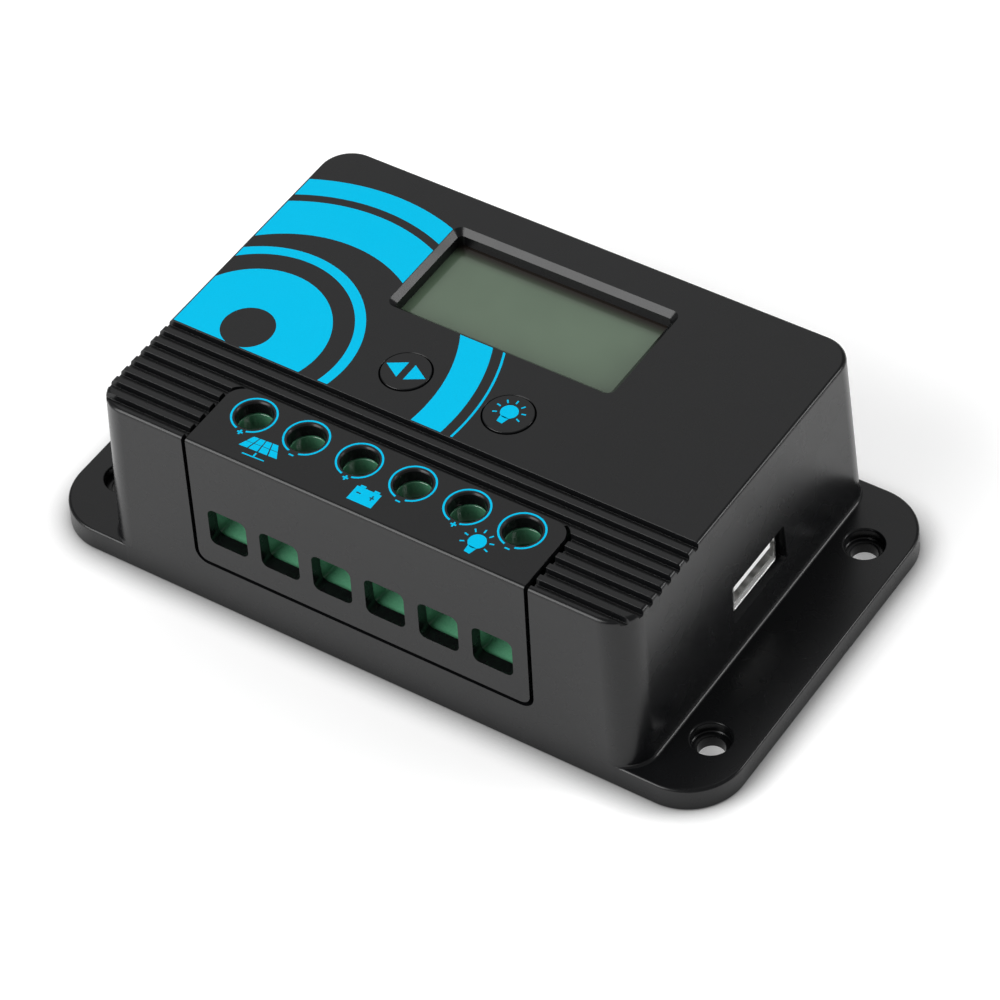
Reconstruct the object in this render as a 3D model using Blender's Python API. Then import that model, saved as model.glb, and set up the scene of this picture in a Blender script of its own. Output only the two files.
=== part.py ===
"""Solar charge controller: a moulded case with two mounting flanges, a terminal
cover, six screw terminals, a display, two push buttons and a USB-A socket.

Every size below is in millimetres and MM turns it into metres. The origin is at
the middle of the underside. +X runs along the terminal front, +Y to the back and
+Z up.
"""
import math

import bmesh
import bpy
from mathutils import Matrix, Vector

MM = 0.001

# ---- driving dimensions -------------------------------------------------
LENGTH = 129.5            # over the two flanges
DEPTH = 73.0
HEIGHT = 36.0
DRAFT = 0.0437            # the walls lean in by this much for each unit of height
BODY_HALF_X = 51.9        # half length of the box part, at the underside
CORNER_R = 5.5
EDGE_R = 0.65             # top edge of the box part
WALL = 2.2
TOP_WALL = 2.5
GAP = 0.3                 # between pieces that touch

FLANGE_T = 4.4
FLANGE_R = 10.0
FLANGE_EDGE_R = 0.45
FOOT_FILLET = 0.8         # where the end walls meet the flanges
FLANGE_SKIN = 0.04        # the box front stands this much proud of the flange front
HOLE_X = 57.4
HOLE_Y = 23.85
HOLE_R = 2.25
COUNTERBORE_R = 3.65
COUNTERBORE_DEPTH = 2.1

RIB_PITCH = 2.64
RIB_COUNT = 8
FIRST_GROOVE_Y = -14.6
GROOVE_TOP = 1.5
GROOVE_FLOOR = 0.9
GROOVE_DEPTH = 1.0

COVER_HALF_X = 32.0
COVER_BACK_Y = -20.65
COVER_BOTTOM_Z = 9.85
COVER_INNER_Y = -33.5
COVER_INNER_Z = 33.6
COVER_GROOVE = 0.75       # width of the groove around the terminal cover
COVER_LOW_R = 1.8
COVER_BACK_R = 3.0

POLES = 6
PITCH = 10.16
SCREW_Y = -25.05
ACCESS_R = 2.95           # screw access hole in the cover
ACCESS_CHAMFER = 0.3
WELL_R = 3.0              # screw well in the terminal block
WIRE_Z = 18.4
WIRE_HOLE = 7.5
WIRE_HOLE_R = 1.3
BLOCK_FRONT_Y = -33.2
BLOCK_BACK_Y = -18.2
BLOCK_TOP_Z = 33.2
CHAMBER_HALF = 4.05       # clamp chamber inside the terminal block
CHAMBER_LOW_Z = 13.2
TUNNEL_HALF = 2.9         # wire tunnel between the funnel and the chamber
FUNNEL_HALF = 4.4         # half width of the wire funnel just ahead of the block
FUNNEL_END_Y = -29.4

TERMINAL_SHANK_R = 1.5    # M3 clamp screw
TERMINAL_HEAD_R = 2.65
SCREW_TIP_Z = 23.4
SCREW_HEAD_Z = 27.9
SCREW_TOP_Z = 29.5
CAGE_TRAVEL = 2.4         # how far a screw lifts its clamp cage
CAGE_LOW_Z = 13.9
CAGE_TOP_Z = 24.9
CAGE_HALF_X = 3.7
CAGE_HALF_Y = 3.55
CAGE_WALL = 0.8
BAR_HALF_X = 2.4          # fixed contact bar over the wire
BAR_FRONT = -3.35         # along y from the screw axis
LEG_NEAR = 4.55           # the bar's leg through the main board, from the screw axis
LEG_FAR = 5.35
BAR_LOW_Z = 21.9
BAR_TOP_Z = 23.1
LEG_END_Z = 8.6

WINDOW_HALF_X = 21.67
WINDOW_FRONT_Y = 6.45
WINDOW_BACK_Y = 27.8
WINDOW_CHAMFER = 1.0
WINDOW_Y = (WINDOW_FRONT_Y + WINDOW_BACK_Y) / 2
WINDOW_R = 1.6
GLASS_TOP_Z = 32.7

BUTTON_X = 9.8
BUTTON_Y = -5.05
BUTTON_R = 4.2
BUTTON_PROUD = 0.2
BUTTON_CLEARANCE = 0.22
BUTTON_RIM_R = 5.3        # flange of the cap, under the case top
BUTTON_RIM_Z = 32.2
SWITCH_HALF = 3.0
SWITCH_TOP_Z = 30.9
PLUNGER_R = 1.7
PLUNGER_LOW_Z = 29.2

USB_Y = 1.55
USB_Z = 14.9
USB_HALF_Y = 6.55
USB_HALF_Z = 2.85
USB_MOUTH_X = 50.3
USB_DEPTH = 13.9
USB_FLARE = 0.4           # how far the mouth's long lips bend outward
USB_FLARE_LENGTH = 0.9
TONGUE_SETBACK = 0.35
RECESS_HALF_Y = 7.75
RECESS_HALF_Z = 3.58

BOARD_Z = 10.0            # underside of the main board
BOARD_T = 1.6
BOARD_TOP = BOARD_Z + BOARD_T
DISPLAY_Z = 25.5          # underside of the display board
DISPLAY_TOP = DISPLAY_Z + BOARD_T
GLASS_HALF_X = 23.0
GLASS_HALF_Y = 12.5
GLASS_LOW_Z = 30.5
BASE_T = 2.0
SHANK_R = 1.2             # case screws and board screws
FINE_SHANK_R = 0.8        # display screws
CASE_BOSS_R = 3.6
MOSFET_Z = 5.1            # underside of the packages, on the heat spreader
MOSFET_Y = 2.0
MOSFET_SPACING = 15.0
MOSFET_LEG_PITCH = 2.54
CAPACITOR_R = 6.25
CAPACITOR_H = 19.5
CAPACITOR_X = -36.0
CASE_SCREW_X = 45.5
CASE_SCREW_Y = 30.0
BOARD_SCREW_X = 43.5
BOARD_SCREW_Y = 21.0
DISPLAY_SCREW_X = 24.5
DISPLAY_SCREW_Y = -8.5


# ---- modelling helpers --------------------------------------------------
def material(name, colour, roughness, metallic=0.0):
    mat = bpy.data.materials.new(name)
    mat.use_nodes = True
    shader = mat.node_tree.nodes["Principled BSDF"]
    shader.inputs["Base Color"].default_value = (*colour, 1.0)
    shader.inputs["Roughness"].default_value = roughness
    shader.inputs["Metallic"].default_value = metallic
    return mat


def add_object(name, bm, mat=None, location=(0, 0, 0)):
    """Close a bmesh in millimetres into a named object in metres."""
    bmesh.ops.scale(bm, vec=(MM, MM, MM), verts=bm.verts)
    bmesh.ops.recalc_face_normals(bm, faces=bm.faces)
    mesh = bpy.data.meshes.new(name)
    bm.to_mesh(mesh)
    bm.free()
    if mat:
        mesh.materials.append(mat)
    obj = bpy.data.objects.new(name, mesh)
    obj.location = Vector(location) * MM
    bpy.context.scene.collection.objects.link(obj)
    return obj


def copy_object(source, name, location):
    obj = bpy.data.objects.new(name, source.data)
    obj.location = Vector(location) * MM
    bpy.context.scene.collection.objects.link(obj)
    return obj


def rounded_rectangle(half_x, half_y, radius, segments=6, centre=(0, 0)):
    """Points of a rounded rectangle, counter-clockwise from the lower right corner."""
    points = []
    for quarter, (sx, sy) in enumerate(((1, -1), (1, 1), (-1, 1), (-1, -1))):
        for step in range(segments + 1):
            angle = math.radians(90 * (quarter - 1) + 90 * step / segments)
            points.append((centre[0] + sx * (half_x - radius) + radius * math.cos(angle),
                           centre[1] + sy * (half_y - radius) + radius * math.sin(angle)))
    return points


def loft(rings):
    """Closed bmesh through rings of 3-D points that all have the same count."""
    bm = bmesh.new()
    loops = [[bm.verts.new(point) for point in ring] for ring in rings]
    count = len(loops[0])
    for lower, upper in zip(loops, loops[1:]):
        for i in range(count):
            j = (i + 1) % count
            bm.faces.new((lower[i], lower[j], upper[j], upper[i]))
    bm.faces.new(list(reversed(loops[0])))
    bm.faces.new(loops[-1])
    return bm


def prism(outline, low, high):
    return loft([[(x, y, z) for x, y in outline] for z in (low, high)])


def box(low, high):
    x0, y0, z0 = low
    x1, y1, z1 = high
    return prism([(x0, y0), (x1, y0), (x1, y1), (x0, y1)], z0, z1)


def turned(profile, segments=24):
    """Solid of revolution about Z; profile holds (radius, z) from bottom to top."""
    rings = []
    for radius, z in profile:
        ring = []
        for step in range(segments):
            angle = 2 * math.pi * step / segments
            ring.append((radius * math.cos(angle), radius * math.sin(angle), z))
        rings.append(ring)
    return loft(rings)


def moved(bm, offset=(0, 0, 0), rotation=None):
    if rotation:
        bmesh.ops.transform(bm, matrix=rotation, verts=bm.verts)
    bmesh.ops.translate(bm, vec=offset, verts=bm.verts)
    return bm


def merged(parts):
    """Put several closed bmeshes into one, as a cutter with several bodies."""
    whole = bmesh.new()
    for part in parts:
        mesh = bpy.data.meshes.new("merge")
        part.to_mesh(mesh)
        part.free()
        whole.from_mesh(mesh)
        bpy.data.meshes.remove(mesh)
    return whole


def boolean(target, bm, operation="DIFFERENCE"):
    """Cut, join or intersect the target with a closed bmesh in millimetres."""
    tool = add_object("cutter", bm)
    modifier = target.modifiers.new("boolean", "BOOLEAN")
    modifier.operation = operation
    modifier.object = tool
    modifier.solver = "EXACT"
    bpy.context.view_layer.update()
    shape = target.evaluated_get(bpy.context.evaluated_depsgraph_get())
    result = bpy.data.meshes.new_from_object(shape)
    target.modifiers.clear()
    old = target.data
    target.data = result
    bpy.data.meshes.remove(old)
    bpy.data.objects.remove(tool)


def finish(obj, name, smooth_angle=32.0):
    """Name the mesh and shade its round faces smooth."""
    obj.data.name = name
    obj.data.shade_smooth()
    obj.data.set_sharp_from_angle(angle=math.radians(smooth_angle))
    return obj


def pole_x(index):
    return (index - (POLES - 1) / 2) * PITCH


# ---- case ---------------------------------------------------------------
def body_half_x(z):
    return BODY_HALF_X - DRAFT * z


def body_half_y(z):
    return DEPTH / 2 - DRAFT * z


def body_ring(z, grow_x=0.0, inset=0.0, radius=CORNER_R):
    outline = rounded_rectangle(body_half_x(z) + grow_x - inset,
                                body_half_y(z) - inset, radius)
    return [(x, y, z) for x, y in outline]


def body_solid(start_z):
    """The drafted box part, filled, with its foot fillet and its rounded top edge."""
    foot = FLANGE_T - 0.05
    rings = [body_ring(start_z, FOOT_FILLET)]
    for step in range(4):
        angle = math.radians(30 * step)
        rings.append(body_ring(foot + FOOT_FILLET * (1 - math.cos(angle)),
                               FOOT_FILLET * (1 - math.sin(angle))))
    for step in range(4):
        angle = math.radians(30 * step)
        rings.append(body_ring(HEIGHT - EDGE_R * (1 - math.sin(angle)),
                               inset=EDGE_R * (1 - math.cos(angle))))
    return loft(rings)


def flange_solid():
    rings = []
    levels = [(0.0, 0.25), (0.25, 0.0)]
    for step in range(4):
        angle = math.radians(30 * step)
        levels.append((FLANGE_T - FLANGE_EDGE_R * (1 - math.sin(angle)),
                       FLANGE_EDGE_R * (1 - math.cos(angle))))
    for z, inset in levels:
        outline = rounded_rectangle(LENGTH / 2 - inset,
                                    body_half_y(z) - FLANGE_SKIN - inset, FLANGE_R, 9)
        rings.append([(x, y, z) for x, y in outline])
    return loft(rings)


def cavity_solid():
    rings = []
    for z in (-1.0, HEIGHT - TOP_WALL):
        outline = rounded_rectangle(body_half_x(z) - WALL, body_half_y(z) - WALL,
                                    CORNER_R - WALL, 3)
        rings.append([(x, y, z) for x, y in outline])
    return loft(rings)


def groove_solids(half_x):
    """The trapezoid grooves between the ribs, across the whole width."""
    grooves = []
    top = HEIGHT + 0.5
    floor = HEIGHT - GROOVE_DEPTH
    lean = (GROOVE_TOP - GROOVE_FLOOR) / 2 / GROOVE_DEPTH
    for index in range(RIB_COUNT):
        y = FIRST_GROOVE_Y - RIB_PITCH * index
        high = GROOVE_TOP / 2 + lean * (top - HEIGHT)
        low = GROOVE_FLOOR / 2
        section = [(y - low, floor), (y + low, floor), (y + high, top), (y - high, top)]
        grooves.append(loft([[(x, sy, sz) for sy, sz in section]
                             for x in (-half_x, half_x)]))
    return grooves


def cover_prisms(half_x, bottom, back, low_r, back_r):
    """Front view and top view outlines of the terminal cover, as two long prisms."""
    middle_z = (bottom + HEIGHT + 20) / 2
    front = rounded_rectangle(half_x, middle_z - bottom, low_r, 5, (0, middle_z))
    front_prism = loft([[(x, y, z) for x, z in front] for y in (back + 12, -60.0)])
    middle_y = (back - 60.0) / 2
    top = rounded_rectangle(half_x, back - middle_y, back_r, 6, (0, middle_y))
    return front_prism, prism(top, 0.0, 60.0)


def window_solids():
    """The display window: a straight hole with a chamfered mouth."""
    half_y = (WINDOW_BACK_Y - WINDOW_FRONT_Y) / 2
    rings = []
    for z, inset in ((30.0, WINDOW_CHAMFER), (HEIGHT - WINDOW_CHAMFER, WINDOW_CHAMFER),
                     (HEIGHT, 0.0), (HEIGHT + 0.5, -0.5)):
        outline = rounded_rectangle(WINDOW_HALF_X - inset, half_y - inset,
                                    WINDOW_R - inset * 0.7, 4, (0, WINDOW_Y))
        rings.append([(x, y, z) for x, y in outline])
    return loft(rings)


def flange_hole():
    floor = FLANGE_T - COUNTERBORE_DEPTH
    return turned([(HOLE_R, -1.0), (HOLE_R, floor - 0.25), (HOLE_R + 0.25, floor),
                   (COUNTERBORE_R - 0.35, floor), (COUNTERBORE_R - 0.35, FLANGE_T - 0.35),
                   (COUNTERBORE_R, FLANGE_T), (COUNTERBORE_R + 0.3, FLANGE_T + 0.3)], 24)


def usb_recess():
    outline = rounded_rectangle(RECESS_HALF_Y, RECESS_HALF_Z, 0.6, 3, (USB_Y, USB_Z))
    return loft([[(x, y, z) for y, z in outline] for x in (45.0, 60.0)])


def corners(x, y):
    return [(sx * x, sy * y) for sx in (-1, 1) for sy in (-1, 1)]


def make_case_shell(mat):
    shell = add_object("case_shell", flange_solid(), mat)
    boolean(shell, body_solid(0.6), "UNION")
    boolean(shell, cavity_solid())
    bosses = []
    inside_top = HEIGHT - TOP_WALL + 0.9
    for x, y in corners(CASE_SCREW_X, CASE_SCREW_Y):
        side = math.copysign(1, x)
        bosses.append(moved(turned([(CASE_BOSS_R, BASE_T + GAP), (CASE_BOSS_R, inside_top)], 12),
                            (x, y, 0)))
        web = sorted((x, side * (BODY_HALF_X - WALL + 0.3)))
        bosses.append(box((web[0], y - 1.0, BASE_T + GAP), (web[1], y + 1.0, inside_top)))
    half_y = (WINDOW_BACK_Y - WINDOW_FRONT_Y) / 2
    collar = rounded_rectangle(WINDOW_HALF_X + 0.4, half_y + 0.4, 1.2, 3, (0, WINDOW_Y))
    bosses.append(prism(collar, GLASS_TOP_Z + GAP, inside_top))
    for side in (-1, 1):
        bosses.append(moved(turned([(2.8, DISPLAY_TOP + GAP), (2.8, inside_top)], 10),
                            (side * DISPLAY_SCREW_X, DISPLAY_SCREW_Y, 0)))
    for boss in bosses:
        boolean(shell, boss, "UNION")
    grow = COVER_GROOVE
    front, top = cover_prisms(COVER_HALF_X + grow, COVER_BOTTOM_Z - grow, COVER_BACK_Y + GAP,
                              COVER_LOW_R + grow, COVER_BACK_R + GAP)
    opening = add_object("opening", front)
    boolean(opening, top, "INTERSECT")
    whole = bmesh.new()
    whole.from_mesh(opening.data)
    bmesh.ops.scale(whole, vec=(1 / MM, 1 / MM, 1 / MM), verts=whole.verts)
    bpy.data.objects.remove(opening)
    boolean(shell, whole)
    boolean(shell, merged(groove_solids(BODY_HALF_X + 5)))
    holes = [window_solids(), usb_recess()]
    for x, y in corners(HOLE_X, HOLE_Y):
        holes.append(moved(flange_hole(), (x, y, 0)))
    seat = BUTTON_R + BUTTON_CLEARANCE
    pilot = FINE_SHANK_R + GAP
    for side in (-1, 1):
        holes.append(moved(turned([(seat, 31.0), (seat, HEIGHT - 0.15), (seat + 0.35, HEIGHT + 0.2)],
                                  32), (side * BUTTON_X, BUTTON_Y, 0)))
        holes.append(moved(turned([(pilot, 20.0), (pilot, 32.5)], 8),
                           (side * DISPLAY_SCREW_X, DISPLAY_SCREW_Y, 0)))
    for x, y in corners(CASE_SCREW_X, CASE_SCREW_Y):
        holes.append(moved(turned([(SHANK_R + GAP, 0.0), (SHANK_R + GAP, 15.0)], 8), (x, y, 0)))
    boolean(shell, merged(holes))
    return finish(shell, "case_shell")


def make_terminal_cover(mat):
    cover = add_object("terminal_cover", body_solid(3.0), mat)
    front, top = cover_prisms(COVER_HALF_X, COVER_BOTTOM_Z, COVER_BACK_Y,
                              COVER_LOW_R, COVER_BACK_R)
    boolean(cover, front, "INTERSECT")
    boolean(cover, top, "INTERSECT")
    boolean(cover, box((-40, COVER_INNER_Y, 0), (40, 0, COVER_INNER_Z)))
    latches = []
    for side in (-1, 1):
        for z in (15.0, 27.0):
            near = sorted((side * 31.0, side * (COVER_HALF_X - 0.05)))
            far = sorted((side * 31.0, side * (COVER_HALF_X + 1.7)))
            latches.append(box((near[0], COVER_INNER_Y - 0.5, z), (near[1], -31.4, z + 4)))
            latches.append(box((far[0], -32.4, z), (far[1], -31.2, z + 4)))
    for latch in latches:
        boolean(cover, latch, "UNION")
    holes = []
    for index in range(POLES):
        x = pole_x(index)
        mouth = ACCESS_R + ACCESS_CHAMFER
        holes.append(moved(turned([(ACCESS_R, 30.0), (ACCESS_R, HEIGHT - ACCESS_CHAMFER),
                                   (mouth + 0.1, HEIGHT + 0.1)], 24), (x, SCREW_Y, 0)))
        entry = rounded_rectangle(WIRE_HOLE / 2, WIRE_HOLE / 2, WIRE_HOLE_R, 4, (x, WIRE_Z))
        holes.append(loft([[(ex, y, ez) for ex, ez in entry] for y in (-30.0, -45.0)]))
    boolean(cover, merged(holes))
    return finish(cover, "terminal_cover")


def make_base_cover(mat):
    low = BASE_T
    outline = rounded_rectangle(body_half_x(low) - WALL - GAP, body_half_y(low) - WALL - GAP,
                                CORNER_R - WALL, 5)
    cover = add_object("base_cover", prism(outline, 0.0, BASE_T), mat)
    for x, y in corners(BOARD_SCREW_X, BOARD_SCREW_Y):
        boolean(cover, moved(turned([(3.2, 1.0), (3.2, BOARD_Z - GAP)], 12), (x, y, 0)), "UNION")
    holes = []
    for x, y in corners(BOARD_SCREW_X, BOARD_SCREW_Y):
        holes.append(moved(turned([(SHANK_R + GAP, BASE_T + 0.6), (SHANK_R + GAP, 12.0)], 8),
                           (x, y, 0)))
    for x, y in corners(CASE_SCREW_X, CASE_SCREW_Y):
        holes.append(moved(turned([(3.35, -0.2), (3.15, 0.0), (1.6, 1.55), (1.6, 3.0)], 16),
                           (x, y, 0)))
    boolean(cover, merged(holes))
    return finish(cover, "base_cover")


# ---- terminals ----------------------------------------------------------
def make_terminal_block(name, first_pole, mat):
    """A two-pole green housing with a wire funnel, a clamp chamber and a screw well each."""
    centre = (pole_x(first_pole) + pole_x(first_pole + 1)) / 2
    half = PITCH - GAP / 2
    block = add_object(name, box((centre - half, BLOCK_FRONT_Y, BOARD_TOP + GAP),
                                 (centre + half, BLOCK_BACK_Y, BLOCK_TOP_Z)), mat)
    for pole in (first_pole, first_pole + 1):
        x = pole_x(pole)
        ceiling = CAGE_TOP_Z + CAGE_TRAVEL + GAP
        boolean(block, box((x - CHAMBER_HALF, SCREW_Y - CHAMBER_HALF, CHAMBER_LOW_Z),
                           (x + CHAMBER_HALF, SCREW_Y + CHAMBER_HALF, ceiling)))
        boolean(block, box((x - BAR_HALF_X - GAP, SCREW_Y + 4.0, 10.0),
                           (x + BAR_HALF_X + GAP, SCREW_Y + LEG_FAR + GAP, BAR_TOP_Z + GAP)))
        boolean(block, moved(turned([(WELL_R, 27.0), (WELL_R, 36.0)], 24), (x, SCREW_Y, 0)))
        rings = []
        for y, half_mouth in ((SCREW_Y - 4.0, TUNNEL_HALF), (FUNNEL_END_Y, TUNNEL_HALF),
                              (BLOCK_FRONT_Y - 0.5, FUNNEL_HALF)):
            mouth = rounded_rectangle(half_mouth, half_mouth, 0.4, 1, (x, WIRE_Z))
            rings.append([(mx, y, mz) for mx, mz in mouth])
        boolean(block, loft(rings))
    return finish(block, name)


def terminal_screw_mesh(mat):
    screw = add_object("terminal_screw_1",
                       turned([(TERMINAL_SHANK_R - 0.3, SCREW_TIP_Z),
                               (TERMINAL_SHANK_R, SCREW_TIP_Z + 0.3),
                               (TERMINAL_SHANK_R, SCREW_HEAD_Z),
                               (TERMINAL_HEAD_R, SCREW_HEAD_Z),
                               (TERMINAL_HEAD_R, SCREW_TOP_Z - 0.3),
                               (TERMINAL_HEAD_R - 0.3, SCREW_TOP_Z)], 16), mat)
    boolean(screw, box((-3.0, -0.4, SCREW_TOP_Z - 0.9), (3.0, 0.4, SCREW_TOP_Z + 0.5)))
    return finish(screw, "terminal_screw")


def clamp_cage_mesh(mat):
    cage = add_object("clamp_cage_1", box((-CAGE_HALF_X, -CAGE_HALF_Y, CAGE_LOW_Z),
                                          (CAGE_HALF_X, CAGE_HALF_Y, CAGE_TOP_Z)), mat)
    inner = CAGE_HALF_X - CAGE_WALL
    boolean(cage, box((-inner, -CAGE_HALF_Y - 1, CAGE_LOW_Z + CAGE_WALL),
                      (inner, CAGE_HALF_Y + 1, SCREW_TIP_Z + 0.1)))
    hole = TERMINAL_SHANK_R + GAP
    boolean(cage, turned([(hole, SCREW_TIP_Z - 1), (hole, CAGE_TOP_Z + 1)], 12))
    return finish(cage, "clamp_cage")


def contact_mesh(mat):
    """The fixed bar over the wire and its leg down through the main board."""
    side = [(BAR_FRONT, BAR_LOW_Z), (LEG_NEAR, BAR_LOW_Z), (LEG_NEAR, LEG_END_Z),
            (LEG_FAR, LEG_END_Z), (LEG_FAR, BAR_TOP_Z), (BAR_FRONT, BAR_TOP_Z)]
    bent = loft([[(x, y, z) for y, z in side] for x in (-BAR_HALF_X, BAR_HALF_X)])
    return finish(add_object("contact_1", bent, mat), "contact")


def make_terminals(green, steel, plated, copper):
    make_terminal_block("terminal_block_solar", 0, green)
    make_terminal_block("terminal_block_battery", 2, green)
    make_terminal_block("terminal_block_load", 4, green)
    for stem, builder, mat in (("terminal_screw", terminal_screw_mesh, steel),
                               ("clamp_cage", clamp_cage_mesh, plated),
                               ("contact", contact_mesh, copper)):
        first = builder(mat)
        first.location = Vector((pole_x(0), SCREW_Y, 0)) * MM
        for index in range(1, POLES):
            copy_object(first, f"{stem}_{index + 1}", (pole_x(index), SCREW_Y, 0))


# ---- display, buttons and display board ---------------------------------
def make_display(board_mat, glass, white, rubber, black):
    board = add_object("display_board", box((-27.5, -12.0, DISPLAY_Z), (27.5, 31.3, DISPLAY_TOP)),
                       board_mat)
    hole = FINE_SHANK_R + GAP
    holes = [moved(turned([(hole, 20.0), (hole, 30.0)], 8),
                   (side * DISPLAY_SCREW_X, DISPLAY_SCREW_Y, 0)) for side in (-1, 1)]
    boolean(board, merged(holes))
    finish(board, "display_board")
    glass_solid = box((-GLASS_HALF_X, WINDOW_Y - GLASS_HALF_Y, GLASS_LOW_Z),
                      (GLASS_HALF_X, WINDOW_Y + GLASS_HALF_Y, GLASS_TOP_Z))
    add_object("lcd_glass", glass_solid, glass)
    seat_x = GLASS_HALF_X + GAP
    seat_y = GLASS_HALF_Y + GAP
    frame_x = seat_x + 1.3
    frame_y = seat_y + 1.2
    low = DISPLAY_TOP + GAP
    holder = add_object("lcd_holder", box((-frame_x, WINDOW_Y - frame_y, low),
                                          (frame_x, WINDOW_Y + frame_y, GLASS_TOP_Z + 0.5)), black)
    boolean(holder, box((-seat_x, WINDOW_Y - seat_y, 20.0), (seat_x, WINDOW_Y + seat_y, 40.0)))
    high = GLASS_LOW_Z - GAP
    add_object("lcd_backlight", box((-22.5, WINDOW_Y - 12.2, low), (22.5, WINDOW_Y + 9.0, high)),
               white)
    add_object("lcd_zebra_strip", box((-20.0, WINDOW_Y + 9.6, low), (20.0, WINDOW_Y + 11.8, high)),
               rubber)


def button_cap_mesh(mat):
    top = HEIGHT + BUTTON_PROUD
    profile = [(BUTTON_RIM_R, BUTTON_RIM_Z), (BUTTON_RIM_R, BUTTON_RIM_Z + 1.0),
               (BUTTON_R, BUTTON_RIM_Z + 1.0), (BUTTON_R, top - 0.35),
               (BUTTON_R - 0.1, top - 0.1), (BUTTON_R - 0.35, top)]
    return finish(add_object("button_cap_left", turned(profile, 32), mat), "button_cap", 50.0)


def switch_body_mesh(mat):
    body = add_object("switch_body_left", box((-SWITCH_HALF, -SWITCH_HALF, DISPLAY_TOP + GAP),
                                              (SWITCH_HALF, SWITCH_HALF, SWITCH_TOP_Z)), mat)
    well = PLUNGER_R + GAP + 0.05
    boolean(body, turned([(well, PLUNGER_LOW_Z - 0.6), (well, SWITCH_TOP_Z + 1)], 12))
    return finish(body, "switch_body")


def switch_plunger_mesh(mat):
    top = BUTTON_RIM_Z - GAP
    profile = [(PLUNGER_R, PLUNGER_LOW_Z), (PLUNGER_R, top - 0.2), (PLUNGER_R - 0.2, top)]
    return finish(add_object("switch_plunger_left", turned(profile, 12), mat), "switch_plunger")


def make_buttons(black, steel, red):
    for stem, builder, mat in (("button_cap", button_cap_mesh, black),
                               ("switch_body", switch_body_mesh, steel),
                               ("switch_plunger", switch_plunger_mesh, red)):
        left = builder(mat)
        left.location = Vector((-BUTTON_X, BUTTON_Y, 0)) * MM
        copy_object(left, f"{stem}_right", (BUTTON_X, BUTTON_Y, 0))


# ---- main board and what stands on it -----------------------------------
def make_main_board(mat):
    half_x, front, back, notch = 47.5, -33.2, 32.4, 6.9
    outline = []
    for sx, y, order in ((1, front, 1), (1, back, -1), (-1, back, 1), (-1, front, -1)):
        inward = notch if y == front else -notch
        corner = [(sx * (half_x - notch), y), (sx * (half_x - notch), y + inward),
                  (sx * half_x, y + inward)]
        outline += corner[::order]
    board = add_object("main_board", prism(outline, BOARD_Z, BOARD_TOP), mat)
    holes = []
    for x, y in corners(BOARD_SCREW_X, BOARD_SCREW_Y):
        holes.append(moved(turned([(SHANK_R + GAP, 8.0), (SHANK_R + GAP, 14.0)], 10), (x, y, 0)))
    for index in range(POLES):
        x = pole_x(index)
        holes.append(box((x - BAR_HALF_X - GAP, SCREW_Y + LEG_NEAR - GAP, 8.0),
                         (x + BAR_HALF_X + GAP, SCREW_Y + LEG_FAR + GAP, 14.0)))
    boolean(board, merged(holes))
    return finish(board, "main_board")


def usb_tube(inset, stations):
    """Solid along X with the socket's outline; each station is an x and a lip height."""
    rings = []
    for x, flare in stations:
        outline = rounded_rectangle(USB_HALF_Y - inset, USB_HALF_Z - inset + flare,
                                    0.6 - inset * 0.8, 3, (USB_Y, USB_Z))
        rings.append([(x, y, z) for y, z in outline])
    return loft(rings)


def make_usb(steel, white):
    back = USB_MOUTH_X - USB_DEPTH
    bend = USB_MOUTH_X - USB_FLARE_LENGTH
    shell = add_object("usb_shell", usb_tube(0.0, ((back, 0.0), (bend, 0.0),
                                                   (USB_MOUTH_X, USB_FLARE))), steel)
    boolean(shell, usb_tube(0.3, ((back + 0.4, 0.0), (bend, 0.0), (USB_MOUTH_X, USB_FLARE),
                                  (USB_MOUTH_X + 1.0, USB_FLARE))))
    finish(shell, "usb_shell")
    core = add_object("usb_insulator", box((back + 0.7, USB_Y - 5.9, USB_Z - 2.2),
                                           (back + 4.2, USB_Y + 5.9, USB_Z + 2.2)), white)
    boolean(core, box((back + 2.0, USB_Y - 5.55, USB_Z + 0.36),
                      (USB_MOUTH_X - TONGUE_SETBACK, USB_Y + 5.55, USB_Z + 2.2)), "UNION")
    finish(core, "usb_insulator")


def make_capacitor(name, x, y, mat):
    base = BOARD_TOP + GAP
    outer = CAPACITOR_R
    inner = CAPACITOR_R - 0.45
    profile = [(inner, base), (outer, base + 0.5), (outer, base + 1.6), (inner, base + 2.2),
               (outer, base + 2.8), (outer, base + CAPACITOR_H - 0.5), (inner, base + CAPACITOR_H)]
    finish(add_object(name, turned(profile, 20), mat, (x, y, 0)), name)


def make_mosfets(mat):
    """Four flat packages, legs forward and up to the board."""
    tab = MOSFET_Z + 1.3
    package = add_object("mosfet_1", box((-5.0, 0.0, MOSFET_Z), (5.0, 15.0, tab)), mat)
    boolean(package, box((-5.0, 0.0, tab - 0.4), (5.0, 9.2, MOSFET_Z + 4.4)), "UNION")
    boolean(package, moved(turned([(1.8, 4.0), (1.8, 10.0)], 10), (0, 12.3, 0)))
    for x in (-MOSFET_LEG_PITCH, 0.0, MOSFET_LEG_PITCH):
        boolean(package, box((x - 0.5, -2.4, 7.2), (x + 0.5, 0.5, 7.8)), "UNION")
        boolean(package, box((x - 0.5, -2.4, 7.5), (x + 0.5, -1.7, BOARD_Z - GAP)), "UNION")
    finish(package, "mosfet")
    first_x = -1.5 * MOSFET_SPACING
    package.location = Vector((first_x, MOSFET_Y, 0)) * MM
    for index in range(1, 4):
        copy_object(package, f"mosfet_{index + 1}", (first_x + MOSFET_SPACING * index, MOSFET_Y, 0))


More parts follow.
